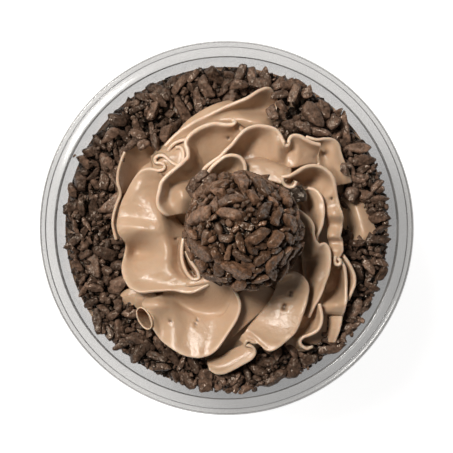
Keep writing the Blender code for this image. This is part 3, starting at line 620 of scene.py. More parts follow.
sheet(
    "left_outer",
    ((-14, 13, 3.4), (-14.8, 13, 3.4), (-16, 13.2, 3.6), (-17, 13.8, 4.2), (-17.4, 14.8, 5)),
    (-19.2, 15.3, 4.8),
    ((-14, 11.4, 2.6), (-15, 11.6, 2.6), (-17, 12, 2.8), (-20, 13.2, 3.6), (-21.3, 14.9, 4.2)),
    ((-14, 9, 1), (-15.4, 9.2, 1.4), (-17.2, 9.8, 2), (-21.6, 11.2, 3.6), (-23.8, 12.2, 2.8)),
    (-25.2, 9.6, 2.2),
    ((-13.6, 5, -3), (-15, 5.2, 0.6), (-17.3, 5.5, 3.4), (-23, 7, 3.2), (-26.3, 7.4, 1.6)),
    ((-12.4, 2.6, -4), (-14.4, 2.8, 0.4), (-17, 2.8, 4), (-22.8, 3.4, 2.8), (-27.2, 4, 1.4)),
    ((-10.6, 0.8, -4.4), (-13.4, 0.7, 0.2), (-16.6, 0.5, 4.4), (-22.6, 0.7, 4.4), (-27.6, 1, 2.4)),
    (-27.1, -1.1, 2.4),
    ((-9, -1.6, -3.6), (-12.6, -2, 0.4), (-16, -2.2, 4), (-21.8, -2.2, 1.4), (-25.9, -2.5, 1.6)),
    ((-8.6, -4, -2.4), (-12.2, -4.6, 0.6), (-15.6, -4.8, 4), (-22, -5, -3.6), (-25, -4.4, -0.8)),
    (-25.4, -6.4, -1.4),
    ((-9, -6.6, -0.6), (-12, -7, 1), (-15.4, -7.4, 4.1), (-22, -8, -1), (-26.1, -8.4, -0.4)),
    ((-9.4, -8.6, 0.4), (-12, -9, 1.4), (-15.2, -9.2, 4.1), (-21.4, -10, 1), (-26.1, -10.6, 0.8)),
    (-25.2, -13, 2.2),
    ((-8.8, -10.4, 1.8), (-11, -11, 2.2), (-13.8, -11.4, 4.4), (-19.6, -12.6, 2.6), (-23.8, -14.6, 3.5)),
    (-22.1, -15.4, 4),
    ((-7.6, -11.6, 2.8), (-9.4, -12, 3), (-11.8, -12.6, 4.5), (-15.4, -13.8, 4.2), (-18.6, -15.2, 4.7)),
    ((-6.4, -11, 0.6), (-8, -12, 3.2), (-10, -13.1, 4.5), (-11.8, -14, 4.8), (-13.2, -15, 5.2)),
    (-10.9, -15.4, 5.4),
    ((-4.4, -10.4, 0.6), (-5.8, -11.8, 3.6), (-7, -12.8, 4.3), (-7.9, -13.8, 4.9), (-8.6, -15.4, 5.7)),
    ((-2.4, -10, 1), (-3.2, -11.2, 4.4), (-3.7, -12, 5.2), (-4.1, -12.7, 5.4), (-4.5, -13.4, 6)),
    lip_light=(0.8, 0.7, 0.1, 0, 0, 0, 0.3, 0.6, 0.5, 0.6, 0.7, 0.8, 0.8),
)
sheet(
    "left_inner",
    ((3.6, 24.6, 3), (3.2, 26, 2.6), (2.8, 27.2, 3.2), (2, 28.2, 4.6)),
    (2.7, 27.4, 4.9),
    (1.9, 26.4, 5),
    ((2.6, 19.4, -1.6), (1.4, 22.2, 0.2), (0.5, 24.6, 2.2), (0, 26.2, 5)),
    ((0, 17.6, -1.8), (-1.6, 21, 0), (-2.7, 24.2, 1.8), (-3.1, 26.5, 5)),
    (-6.1, 25.6, 5.2),
    ((-4, 15, -2), (-5.6, 18.2, 0), (-7.2, 21.8, 2), (-8.1, 24.4, 5.4)),
    (-9.5, 23, 5.6),
    (-9.9, 21.8, 5.8),
    ((-5.2, 14, -2.4), (-6.4, 16.4, -0.4), (-7.9, 19.2, 2), (-9.4, 20.6, 6)),
    ((-5.8, 13.2, -2.6), (-7, 14.8, -1), (-8.4, 16.9, 1.6), (-9.3, 18.4, 6.2)),
    (-10.7, 16.8, 6.6),
    ((-7.2, 12.2, -1), (-9, 13, -0.6), (-11.2, 13.8, 2.4), (-12.7, 15.1, 6.8)),
    (-14.6, 13.5, 6.8),
    ((-8.4, 11.4, 2.6), (-11, 11.6, 1.6), (-14, 11.6, 2.2), (-16, 11.8, 6.6)),
    ((-8.4, 10, 3), (-11.4, 10.2, 4.4), (-14.4, 10, 2.2), (-16.5, 9.9, 6.4)),
    ((-8.2, 8.6, 3), (-11.2, 8.8, 5), (-14.6, 8.4, 2.4), (-16.9, 8, 6.2)),
    (-16.8, 6.4, 6),
    ((-8, 6.4, 2), (-11, 6.4, 4), (-13.8, 5.8, 3.2), (-15.8, 4.8, 5.6)),
    ((-8.2, 4.4, 0), (-10.8, 4.2, 2.2), (-12.8, 4, 3), (-14.4, 3.7, 4.6)),
    thick=1.05,
)
sheet(
    "right_outer",
    ((13.6, 11.4, 6.4), (13.7, 11.9, 6), (13.8, 12.4, 7), (14, 13, 9)),
    (16.3, 13.4, 9),
    ((17.8, 8.8, 3), (17.9, 10.8, 0), (18, 12.8, 1.8), (18.1, 14.4, 8.6)),
    (19.9, 15.5, 8.2),
    ((20.4, 9.4, 3), (21, 11.6, -0.6), (21.8, 14, 0.8), (22.1, 15.9, 7.6)),
    (24.2, 15.3, 7),
    ((22.6, 9.2, 4.2), (23.6, 10.8, 2), (24.8, 12.4, 2.6), (25.8, 14.1, 6.6)),
    (26.9, 12.3, 6.2),
    ((23.8, 7.8, 4.2), (24.8, 8.6, 4.6), (26.2, 9.6, 5.2), (27.4, 10.2, 5.6)),
    ((24.4, 6, 3.6), (25.2, 6.2, 4.2), (26.8, 6.4, 4.8), (28.2, 6.6, 5)),
    ((25, 3.8, 3.4), (26, 3.8, 5), (27.6, 3.8, 5.8), (29.2, 3.8, 5.4)),
    ((25.4, 1.4, 1.6), (26.2, 1.4, 2.6), (27.6, 1.3, 3.2), (29, 1.2, 3.2)),
    ((25.4, -1.5, 3.2), (26.2, -1.5, 4.8), (27.4, -1.5, 5.2), (28.6, -1.6, 4.8)),
    ((25.8, -3.1, 1.6), (26.5, -3.1, 2.4), (27.8, -3.1, 2.8), (29, -3.2, 3)),
    ((26, -5, 2.8), (26.8, -5, 4), (28, -5.1, 4.4), (29.2, -5.2, 4.2)),
    ((26.2, -6.6, 3), (26.6, -6.8, 3.4), (27.2, -7.1, 3.8), (27.9, -7.4, 4)),
    lip_light=(0.8,), thick=0.95,
)
sheet(
    "top_inner",
    ((-3.4, 13, 5), (-4, 13.4, 5), (-5, 13.6, 6.4), (-6.2, 13.8, 8)),
    ((-3, 14.2, 5), (-3.6, 14.6, 5.2), (-4.2, 15, 6.4), (-5, 15.6, 8.4)),
    (-3.2, 17, 8.6),
    ((1, 16, 3), (0.6, 16.8, 3), (-0.2, 17.6, 5), (-1.2, 18.4, 8.8)),
    ((3.4, 16.4, 1.4), (2.6, 17.8, 1), (1.6, 19.4, 3.6), (0.5, 20.2, 8.8)),
    (1.8, 21.4, 8.6),
    ((6, 16.8, 1.4), (4.8, 18.6, 0.4), (3.6, 21, 2.2), (3.3, 23.3, 8.2)),
    (5.1, 25, 8),
    ((8, 17.2, 1.4), (7.6, 19.4, 1.2), (7.4, 23.2, 2.2), (7.6, 25.9, 7.2)),
    ((9.6, 16.7, 1.6), (9.8, 18.8, 2.6), (10, 23, 3.6), (10, 25.9, 6.8)),
    ((11.4, 16.4, 2), (11.6, 18.8, 4.4), (11.8, 22.8, 5.6), (12.2, 25.4, 6.6)),
    (13.4, 24.3, 6.6),
    ((13, 16, 2.2), (13.3, 18.2, 4.8), (13.4, 20.8, 5.8), (13.9, 22.8, 6.8)),
    (14.5, 21.4, 6.6),
    ((14.8, 15.6, 3.6), (15, 17.4, 3), (15.2, 19.4, 3.4), (15.3, 21, 6)),
    (16.1, 21.7, 6.6),
    ((16.2, 15.8, 3.2), (16.4, 18.2, 3.2), (16.4, 20.8, 3.8), (16.3, 22.8, 6.6)),
    (16.9, 23.6, 6.4),
    ((18, 16, 3), (18.2, 18.8, 3.8), (18.4, 21.8, 4.4), (18.3, 23.6, 6)),
    ((19.6, 16.4, 2.4), (19.6, 18.8, 3), (19.8, 21.2, 3.6), (19.8, 22.7, 5.6)),
    ((21.6, 16.8, 1.4), (21.6, 18.8, 1.8), (21.6, 20.4, 2.6), (21.6, 21.8, 5)),
    ((23.2, 16.8, 0), (23.4, 18.4, 0), (23.6, 19.8, 1.4), (23.8, 21.2, 4.2)),
    thick=0.95,
)
sheet(
    "top_roll",
    ((4.8, 18, 1.6), (4.8, 17, 6), (4.7, 15.4, 7), (4.6, 13.2, 7.4)),
    ((8.4, 18.6, 1.6), (8.5, 17.4, 6), (8.6, 15.6, 7.1), (8.6, 13.2, 7.6)),
    ((11.3, 18, 2), (11.4, 16.8, 6.2), (11.5, 14.9, 7.4), (11.5, 12.8, 8)),
    ((14.4, 17, 2), (14.4, 15.6, 6.6), (14.3, 13.8, 7.9), (14.2, 12.2, 8.4)),
    ((16.4, 16.4, 0), (16.4, 15.4, 4.4), (16.4, 14.4, 6.4), (16.4, 13.8, 6.8)),
    lip_light=(0,),
)
sheet(
    "curl_bed",
    ((-19.4, 14.2, 2), (-18.6, 16, 3.4), (-18.8, 17.4, 3.2), (-19.2, 18.8, 0)),
    ((-16.6, 14, 3.9), (-16.2, 16.4, 4.5), (-16.2, 18.2, 4.4), (-16.9, 20.2, 1.8)),
    ((-14, 14.2, 4.4), (-13.8, 17, 4.9), (-13.8, 19.2, 4.7), (-14.4, 21.2, 2.4)),
    ((-12, 15.2, 4.9), (-11.6, 18, 5.1), (-11.6, 20.4, 4.6), (-12, 22.6, 2.8)),
    ((-10.2, 17.2, 5.2), (-9.6, 19.4, 5.1), (-9.6, 21.4, 4.8), (-9.9, 23.2, 3.4)),
    lip_light=(0,), low=True,
)
sheet(
    "right_inner",
    ((18.5, 9, 4.6), (19, 9.4, 4.4), (19.8, 10, 4.6), (20.5, 10.4, 5.5)),
    (22.2, 10.1, 6),
    ((19, 7, 3.6), (20.4, 7.4, 2.8), (22, 8, 5), (23.5, 8.7, 6.4)),
    (24.2, 6.8, 6.6),
    ((20, 4.4, 2), (21, 4.4, 2), (22.8, 4.5, 5.8), (24.4, 4.5, 6.6)),
    ((21, 1, 2), (21.8, 1.1, 2.6), (22.8, 1.2, 5), (23.8, 1.2, 6.2)),
    ((21.4, -2, 2.6), (21.7, -2, 3.4), (22, -1.9, 4.6), (22.5, -1.8, 5.6)),
    ((21.6, -3.6, 3), (21.8, -3.6, 3.6), (22.1, -3.6, 4.4), (22.4, -3.6, 5.2)),
)
sheet(
    "right_band",
    ((14, 4, 6), (14.8, 4.6, 7), (15.6, 5.2, 8.2), (16.4, 5.8, 9.4)),
    ((15.5, 1.5, 3.4), (16.8, 2.2, 3.6), (18.2, 3, 6.8), (19.4, 3.75, 9)),
    (20.9, 2.4, 8.7),
    ((16.8, -1, 2.4), (18.4, -0.6, 2.6), (20.2, 0, 6.2), (21.7, 0.8, 8.4)),
    ((17.4, -2.5, 2), (18.8, -2.2, 2), (20.4, -1.6, 5.8), (21.7, -1, 8)),
    ((18, -4.4, 1.6), (19.2, -4.2, 1.6), (20.6, -3.6, 4.8), (22.2, -2.7, 7.6)),
    ((18.6, -6, 1.6), (19.8, -6, 1.8), (21.6, -5.6, 5.4), (23.5, -4, 7.2)),
    (24.9, -3.6, 6.9),
    (25.7, -4.9, 6.6),
    ((19, -8.6, 1.2), (20.2, -8.6, 0.6), (22.6, -8, 3), (25.9, -7.4, 6.2)),
    ((19.4, -12, 0.8), (20.4, -12, 0.4), (22.8, -11.6, 4.2), (25.6, -11.1, 5.4)),
    ((19.6, -14.6, 0.8), (20.6, -14.6, 0.4), (22.6, -14.3, 4.2), (24.7, -13.8, 4.8)),
    ((19.8, -17, 0.8), (20.6, -17, 0.6), (22, -16.8, 3.4), (23.5, -16.5, 4.4)),
    ((19.6, -19.4, 0.8), (20.2, -19.3, 0.8), (21.2, -19.1, 2.8), (22.2, -18.8, 3.8)),
    ((19.2, -21.4, 1), (19.5, -21.5, 1.2), (20, -21.7, 2), (20.6, -22, 2.6)),
)
sheet(
    "above_ball",
    ((-3, 12.2, 4), (-3.6, 12.8, 5), (-4.6, 14, 8.6)),
    (-3.5, 15.5, 9),
    ((0, 13, 3), (-0.6, 15.6, 4.4), (-1.5, 17.3, 9.4)),
    (0, 18.3, 9.5),
    ((1.4, 13, 2.6), (1.5, 16.4, 4), (1.6, 18.5, 9.4)),
    (3.2, 18, 9.2),
    ((2.8, 13, 3.4), (3.2, 15.6, 5), (4.2, 16.6, 9)),
    ((3.2, 12.8, 4), (3.6, 13.6, 6), (4.4, 14.8, 8.6)),
    thick=0.95,
)

# The open end of a rolled-over edge: its mouth, its dark inside and its half axes.
TUBE_MOUTH = np.array((-20.8, -22.3, 1.4))
TUBE_END = np.array((-17.2, -21.1, -6.6))
TUBE_LONG = 2.8 * np.array((0.46, -0.89, -0.1))
TUBE_SHORT = 1.45 * np.array((0.82, 0.42, 0.8))


def tube_rib(turn):
    """A rib from the inside of the tube out to its mouth."""
    out = math.cos(turn) * TUBE_LONG + math.sin(turn) * TUBE_SHORT
    return tuple(tuple(TUBE_END + share * (TUBE_MOUTH - TUBE_END) + width * out)
                 for share, width in ((0, 0.8), (0.5, 0.95), (1, 1)))


sheet("tube", *map(tube_rib, np.linspace(0, 2 * math.pi, 14)), lip_light=(0.8,), thick=0.36, root=LIP)

# Small holes in the cream, dented and painted dark as shade: x, y, radius.
PITS = ((-14.4, -23.1, 0.3), (-14, -23.1, 0.3), (-7.3, -22.8, 0.35), (-7.8, -23.8, 0.35),
        (16.3, -15.8, 0.45), (16.1, -16.5, 0.45), (14.7, -19, 0.5), (14.5, -19.8, 0.5),
        (0.5, 23.3, 0.35), (-12.9, -2.2, 0.3), (26.6, 8, 0.35))
PIT_DEPTH = 0.9

# Narrow ribbons of cream that stand on edge: how far they reach down, and their top edge.
WALLS = {
    "s_curl": (6, (
        (-12.9, 20.9, 4.4), (-11.6, 21, 4.8), (-11, 20, 5.2), (-10.9, 18.6, 5.6), (-11.3, 17.2, 5.8),
        (-12.2, 16.5, 5.8), (-13.6, 17, 5.6), (-14.8, 18, 5.4), (-16, 18.9, 5.2), (-17.4, 18.8, 5),
        (-18.1, 18, 4.8), (-17.8, 17.1, 4.8), (-16.8, 17, 4.9), (-15.9, 16.6, 5), (-15.7, 15.8, 5),
        (-16.4, 15.2, 5), (-17.6, 15, 5))),
    "back_fold": (5, ((-14.9, 20, 3.4), (-13.6, 21.6, 4), (-11.8, 22.6, 4.4), (-9.6, 23, 5))),
    "leaf": (5, (
        (-10.9, -1.9, 6), (-11.3, -4.7, 6), (-11.1, -7.9, 5.8), (-10.1, -10.6, 5.6), (-8.4, -12.4, 5.6),
        (-7, -12.1, 5.8), (-7.2, -10.6, 6.2), (-8.9, -8, 6.6), (-10.2, -5.2, 6.8))),
    "loop": (3.4, (
        (14.2, 13.1, 8.8), (14.3, 12.2, 8.4), (15, 11.3, 8.2), (16.2, 10.9, 8.1), (17.2, 11.3, 8.2),
        (17.7, 12.4, 8.4))),
    "hook": (4, (
        (27.6, -6.6, 4.2), (27.4, -7.6, 4), (27.8, -8.6, 3.8), (28.6, -8.6, 3.8), (28.8, -7.7, 3.8),
        (28.3, -7.2, 3.8))),
}
WALL_STEP = 0.3
WALL_ROWS = 12
WALL_HALF = 0.42
WALL_FLARE = 0.7
# Where the points over a rounded edge lie, in a half turn from its face to its underside.
EDGE_TURNS = np.radians((36, 72, 108, 144))


def spline(knots, points, at):
    """Smooth values at parameters, through points given at knots."""
    slopes = np.gradient(points, knots, axis=0)
    k = np.clip(np.searchsorted(knots, at, side="right") - 1, 0, len(knots) - 2)
    gap = (knots[k + 1] - knots[k])[:, None]
    t = (at - knots[k])[:, None] / gap
    return ((2 * t ** 3 - 3 * t ** 2 + 1) * points[k] + (t ** 3 - 2 * t ** 2 + t) * gap * slopes[k]
            + (3 * t ** 2 - 2 * t ** 3) * points[k + 1] + (t ** 3 - t ** 2) * gap * slopes[k + 1])


def even_places(knots, points, step):
    """Parameters about "step" mm apart along the smooth curve through the points."""
    dense = np.linspace(0, knots[-1], 600)
    length = way_along(spline(knots, points, dense))
    return np.interp(np.linspace(0, length[-1], max(24, int(length[-1] / step))), length, dense)


def sheet_rows(ribs, step):
    """Rows of points along a sheet, root first and lip last."""
    whole = [k for k, rib in enumerate(ribs) if isinstance(rib[0], tuple)]
    lip = np.array([rib[-1] if k in whole else rib for k, rib in enumerate(ribs)], dtype=float)
    knots = way_along(lip, 0.6)
    at = even_places(knots, lip, step)
    inner = np.array([ribs[k][:-1] for k in whole], dtype=float)
    rows = [spline(knots[whole], row, at) for row in inner.transpose(1, 0, 2)]
    return np.stack(rows + [spline(knots, lip, at)])


def across(rows, count):
    """Points across rows of points, smooth through each row."""
    gaps = np.linalg.norm(np.diff(rows, axis=0), axis=2).mean(1)
    knots = np.concatenate([[0], np.cumsum(gaps)])
    steps = np.arange(len(rows))
    at = np.interp(np.linspace(0, knots[-1], count), knots, steps)
    return spline(steps, rows.reshape(len(rows), -1), at).reshape(count, -1, 3).transpose(1, 0, 2)


def round_edge(middle, half, out):
    """Points over a rounded edge, from one side of it to the other."""
    return np.stack([middle + half * math.cos(a) + out * math.sin(a) for a in EDGE_TURNS], 1)


def close_sheet(face, lip_thick, root_thick):
    """Rings round a sheet: over its face, round its lip and back along its underside."""
    columns = face.shape[1]
    inward = np.linspace(1, 0, columns)[None, :, None]
    rise = np.gradient(face, axis=1)
    normal = unit(np.cross(np.gradient(face, axis=0), rise))
    if normal[..., 2].mean() < 0:
        normal = -normal
    under = face - normal * (lip_thick + (root_thick - lip_thick) * inward ** THINNING)
    lip, below = face[:, -1], under[:, -1]
    cap = round_edge((lip + below) / 2, (lip - below) / 2, unit(rise[:, -1]) * lip_thick / 2)
    back = under[:, ::-3]
    # lips holds the painted light: full round the lip, fading in over the face's last points.
    lips = np.zeros(columns + cap.shape[1] + back.shape[1])
    lips[columns - len(LIP_LIGHT_FADE):columns] = LIP_LIGHT_FADE
    lips[columns:columns + cap.shape[1]] = 1
    return np.concatenate([face, cap, back], axis=1), np.tile(lips, (len(face), 1))


def sheet_points(ribs, lip_light, thick, root):
    """Rings round a whole sheet, and how much painted light each point's colour takes."""
    rows = sheet_rows(ribs, SHEET_STEP)
    width = np.linalg.norm(np.diff(rows, axis=0), axis=2).mean(1).sum()
    face = across(rows, max(12, int(width / (SHEET_STEP * 1.1))))
    rings, lips = close_sheet(face, thick, root)
    spread = np.interp(np.linspace(0, 1, len(face)), np.linspace(0, 1, len(lip_light)), lip_light)
    return rings, lips * spread[:, None]


def wall_points(depth, top):
    """Rings round a ribbon that stands on edge, wider at its foot, and the painted light on its top edge."""
    top = np.array(top)
    knots = way_along(top, 0.5)
    edge = spline(knots, top, even_places(knots, top, WALL_STEP))
    side = unit(np.cross(np.gradient(edge, axis=0), (0, 0, 1.0)))
    share = np.linspace(0, 1, WALL_ROWS)[None, :, None]
    face = edge[:, None] - (1 - share) * (0, 0, depth)
    half = side[:, None] * (WALL_HALF + WALL_FLARE * (1 - share))
    cap = round_edge(edge, side * WALL_HALF, np.array((0, 0, WALL_HALF)))
    # The top edge takes the lips' painted light, fading in near the top.
    near = np.clip(share[0, :, 0] * 6 - 5, 0, 1) * 0.7
    lips = np.concatenate([near, np.ones(len(EDGE_TURNS)), near[::-1]])
    return np.concatenate([face + half, cap, (face - half)[:, ::-1]], axis=1), np.tile(lips, (len(edge), 1))


def closed_rings(parts):
    """Points, faces and painted lip light of many closed strips, each end capped by a fan."""
    points, faces, fans, lips = [], [], [], []
    start = 0
    for rings, lip_lightness in parts:
        count, columns = rings.shape[:2]
        centre = start + count * columns
        last = centre - columns
        points += [rings.reshape(-1, 3), rings[0].mean(0)[None], rings[-1].mean(0)[None]]
        lips += [lip_lightness.ravel(), [0.0, 0.0]]
        faces.append(grid_faces(count, columns, start, closed=True))
        j = np.arange(columns)
        k = (j + 1) % columns
        fans.append(np.stack([j + start, np.full(columns, centre), k + start], -1))
        fans.append(np.stack([k + last, np.full(columns, centre + 1), j + last], -1))
        start = centre + 2
    return np.vstack(points), [np.vstack(faces), np.vstack(fans)], np.concatenate(lips)


def build_swirl(look):
    parts = [sheet_points(ribs, lip_light, thick, root) for ribs, lip_light, thick, root, _ in SHEETS.values()]
    parts += [wall_points(depth, top) for depth, top in WALLS.values()]
    points, faces, lips = closed_rings(parts)
    pits = np.zeros(len(points))
    for x, y, radius in PITS:
        pits = np.maximum(pits, np.clip(1.5 - apart_from(points, (x, y)) / radius, 0, 1))
    points[:, 2] -= PIT_DEPTH * pits
    points = settle(points)
    unevenness = 0.10 * lumps(points, 7.0, 3) + 0.05 * lumps(points, 2.6, 9)
    points += unevenness[:, None] * (0.3, 0.3, 1.0)
    # The lip field carries the lips' painted light, and the pit field the pits' painted shade.
    put(make_piece("cream_ruffles", points, faces, look, lip=lips, pit=pits), "cream_swirl")


def reach_by_angle(centre, count, spread):
    """How far the lips, but for the low sheets', reach from a centre within a spread of each angle."""
    lips = np.vstack([sheet_rows(ribs, 0.6)[-1] for ribs, _, _, _, low in SHEETS.values() if not low]) + ASIDE
    angle = np.arctan2(lips[:, 1] - centre[1], lips[:, 0] - centre[0])
    turned = np.abs((angle - angles(count)[:, None] + math.pi) % (2 * math.pi) - math.pi)
    return np.where(turned < spread * math.pi / count, apart_from(lips, centre), 0).max(1)


# The body of cream under the sheets: rows of its share of their reach and height over the rim, with a knob
# and a hollow at (x, y, height or depth).
MOUND = ((0.97, -9), (1, -8.2), (1, -7.4), (0.98, -6.4), (0.94, -5.4), (0.89, -4.4), (0.82, -3.4),
         (0.74, -2.4), (0.64, -1.6), (0.5, -1.2), (0.3, -1), (0.1, -1), (0.01, -1))
MOUND_CENTRE = np.array((2.0, -1.1))
MOUND_SIDES = 96
MOUND_ROWS = 44
MOUND_RADIUS = 28.0
MOUND_INSET = 2.2
KNOB = (-13.5, 17.8, 4.0)
KNOB_RADIUS = 6.0
KNOB_FOOT = -5.8
HOLLOW = (-11.8, 0.4, 5.5)
HOLLOW_RADIUS = 3.6


def build_mound(look):
    reach = reach_by_angle(MOUND_CENTRE, MOUND_SIDES, 5.0) - MOUND_INSET
    reach = sum(np.roll(reach, k) for k in range(-2, 3)) / 5
    rows = np.linspace(0, len(MOUND) - 1, MOUND_ROWS)
    share, height = (np.interp(rows, range(len(MOUND)), column)[:, None] for column in np.array(MOUND).T)
    radius = share * (share * reach + (1 - share) * MOUND_RADIUS)
    points = round_axis(radius, RIM + height, MOUND_SIDES).reshape(-1, 3)
    points[:, :2] += MOUND_CENTRE
    points[:, :2] += 0.25 * lumps(points, 6.0, 5)[:, None]
    near = np.clip(1 - apart_from(points, KNOB) / KNOB_RADIUS, 0, 1) * (points[:, 2] > RIM + KNOB_FOOT)
    points[:, 2] += np.sqrt(near) * np.maximum(RIM + KNOB[2] - points[:, 2], 0)
    points[:, 2] -= HOLLOW[2] * np.clip(1.3 - apart_from(points, HOLLOW) / HOLLOW_RADIUS, 0, 1)
    faces = grid_faces(MOUND_ROWS, MOUND_SIDES, closed=True)
    mound = make_piece("cream_mound", points, faces, look, lip=np.zeros(len(points)))
    put(mound, "cream_swirl")


# Flakes
#
# A flake is the rounded solid inside a set of planes. Their distances are shares of its half size.

SIDE_PLANES = (0.78, 1.05)
FACE_PLANES = (0.85, 1.0)
CORNER_PLANES = (1.05, 1.3)
BLUNTNESS = (4, 8)
CREASE = math.radians(52)


def ball_grid(side):
    """Unit directions over a cube-sphere and its quads."""
    line = np.tan(np.linspace(-math.pi / 4, math.pi / 4, side + 1))
    a, b = np.meshgrid(line, line, indexing="ij")
    points, faces = [], []
    for axis in range(3):
        for sign in (-1, 1):
            quads = grid_faces(side + 1, side + 1, len(points) * a.size)
            faces.append(quads[:, (0, 3, 2, 1) if sign > 0 else (1, 2, 3, 0)])
            points.append(np.roll(np.stack([np.full_like(a, sign), a, b], -1), axis, axis=2).reshape(-1, 3))
    points = np.vstack(points)
    _, first, same = np.unique(np.round(points, 6), axis=0, return_index=True, return_inverse=True)
    return unit(points[first]), same.reshape(-1)[np.vstack(faces)]


def rough_chip(ways, rng, size):
    """A broken flake: a long slab with a few sides, snapped corners and a grainy skin."""
    planes, distances = [], []

    def cut(plane, distance):
        planes.append(plane)
        distances.append(rng.uniform(*distance))

    sides = int(rng.choice((4, 4, 4, 4, 5)))
    start = rng.uniform(0, 6.28) if sides != 4 else rng.normal(0, 0.2)
    for k in range(sides):
        turn = start + (k + rng.uniform(-0.22, 0.22)) * 2 * math.pi / sides
        cut((math.cos(turn), math.sin(turn), rng.normal(0, 0.16)), SIDE_PLANES)
    for sign in (-1, 1):
        cut((rng.normal(0, 0.14), rng.normal(0, 0.14), sign), FACE_PLANES)
    for _ in range(3):
        cut(rng.normal(size=3), CORNER_PLANES)
    bluntness = rng.uniform(*BLUNTNESS)
    within = np.maximum(ways @ unit(np.array(planes)).T / distances, 0) ** bluntness
    shape = ways * (within.sum(1) ** (-1 / bluntness))[:, None] * size
    seed = int(rng.integers(1e6))
    grain = 0.12 * lumps(shape, 1.9, seed) + 0.09 * lumps(shape, 0.9, seed + 1)
    shape[:, 2] += rng.normal(0, 0.04) * (shape[:, 0] ** 2 - size[0] ** 2 / 3)
    return shape * (1 + grain / np.maximum(np.linalg.norm(shape, axis=1), 0.6))[:, None]


def flake_axes(up, turn):
    """A flake's own axes, square to "up" and turned about it."""
    up = unit(up)
    side = unit(np.cross(up, (0.0, 0.0, 1.0)))
    first = side * math.cos(turn) + np.cross(up, side) * math.sin(turn)
    return np.stack([first, np.cross(up, first), up])


GRIDS = {side: ball_grid(side) for side in (3, 4, 5, 7)}


class Room:
    """The room that flakes have taken, as balls down the length of each."""

    def __init__(self):
        self.spots = np.empty((0, 3))
        self.sizes = np.empty(0)

    def take(self, spot, along, half, wide, slack=0.0):
        """Takes the room for a flake and says yes, or says no where others are too near."""
        reach = max(half - wide, 0)
        balls = spot + along * np.linspace(-reach, reach, 5)[:, None]
        apart = np.linalg.norm(self.spots[None] - balls[:, None], axis=2)
        if (apart <= slack * (self.sizes + wide)).any():
            return False
        self.spots = np.vstack([self.spots, balls])
        self.sizes = np.concatenate([self.sizes, np.full(len(balls), wide)])
        return True


class Heap:
    """Flakes gathered into one mesh."""

    def __init__(self):
        self.points, self.faces, self.tones, self.count = [], [], [], 0

    def add(self, shape, quads, tone):
        self.points.append(shape)
        self.faces.append(quads + self.count)
        self.tones.append(np.full(len(shape), tone))
        self.count += len(shape)

    def build(self, name, look, node, slot):
        made = make_piece(name, np.vstack(self.points), np.vstack(self.faces), look,
                          tone=np.concatenate(self.tones))
        made.data.set_sharp_from_angle(angle=CREASE)
        put(made, node)


RING_LAYERS = (
    # piece, grid, half lengths, widths as a share of them, tries, height over the bed, tilt, slack, tone
    # The two under layers' low tones are painted shade in the gaps between the flakes above them.
    ("flakes_under", 3, (1.6, 2.6), (0.36, 0.62), 1500, 0.8, 0.5, 0.80, 0.12),
    ("flakes_under", 3, (1.5, 2.6), (0.36, 0.62), 1400, 2.2, 0.5, 0.80, 0.3),
    ("flakes_large", 7, (2.1, 3.8), (0.30, 0.54), 1200, 4.2, 0.36, 0.86, 1.0),
    ("flakes_small", 5, (1.2, 2.1), (0.36, 0.62), 2400, 4.2, 0.6, 0.84, 0.85),
    ("flake_crumbs", 4, (0.55, 1.05), (0.55, 0.9), 3600, 4.4, 0.7, 0.82, 0.7),
)
# Spots that the ring leaves bare: x, y, radius.
BARE_SPOTS = ((32.6, 4.6, 2.6), (34.6, 0.8, 2.9), (31.6, 1.4, 2.2), (-7.6, 26.6, 2), (-2.8, 30.2, 1.7),
              (14.9, 30.6, 3.2), (-25.4, -16.9, 1.7))
# Flakes that lie on the cream or high on the ring: x, y, height over the rim, half length,
# half width, turn in degrees, tilt.
PERCHED = (
    (13.2, 34.2, 0.4, 2.4, 1, 10, 0.2), (17.2, 34.6, 0.2, 2.6, 1.2, 60, 0.3),
    (21.6, 29.8, 1, 3.7, 2.1, 128, 0.3), (11.5, 29.7, 1.8, 2.2, 1.3, 95, 0.2),
    (16.2, 26.8, 2.2, 2.2, 1.4, 25, 0.4), (19.6, 26, 2.4, 2.2, 1.1, 150, 0.2),
    (23.6, 25, 1.6, 3, 1.1, 172, 0.2), (16.6, 36.8, -1, 2.9, 1.2, 8, 0.2),
    (24.8, 30.4, -1, 2.2, 1.4, 100, 0.4), (27, 27.4, -1.2, 2.4, 1.4, 60, 0.4),
    (8.2, 37.2, -0.4, 2.9, 1.4, 165, 0.2), (2.8, 36.8, -1.4, 2.3, 1.3, 20, 0.3),
    (20.3, 34.6, -0.4, 1.6, 1.2, 40, 0.3), (31.6, 9.2, -2.4, 2, 1.6, 40, 0.3),
    (29.8, 15.8, -0.4, 1.3, 0.9, 70, 0.3), (-24, 21.6, 2.6, 2.3, 1.1, 50, 0.3),
    (-20.9, 21.7, 2.4, 2, 1.1, 20, 0.3), (-18.2, 22.7, 1.6, 2.1, 1, 100, 0.3),
    (-15.4, 24.6, 0.8, 2.5, 1.4, 60, 0.3), (-26.2, 19.4, 1.4, 1.9, 0.9, 75, 0.3),
    (-22.2, 24.2, -0.4, 2.4, 1.2, 150, 0.3), (13.4, 25, 1.6, 1.6, 0.9, 20, 0.3),
    (13.8, 28.4, -0.8, 1.9, 1.1, 80, 0.3), (13.9, 31.6, -0.8, 1.9, 1, 120, 0.3),
    (12.6, 26.9, 0.8, 1.2, 0.7, 60, 0.3), (-6.4, 13.7, 8.6, 2.4, 1.2, 35, 0.2),
    (-8.7, 11.1, 7.6, 1.9, 1.1, 65, 0.2), (-4.3, 12.9, 8.4, 2, 1.2, 20, 0.2),
    (-7.2, 12, 7.4, 1.8, 1.1, 50, 0.2), (-38.5, 18.8, -0.9, 0.5, 0.3, 30, 0),
)
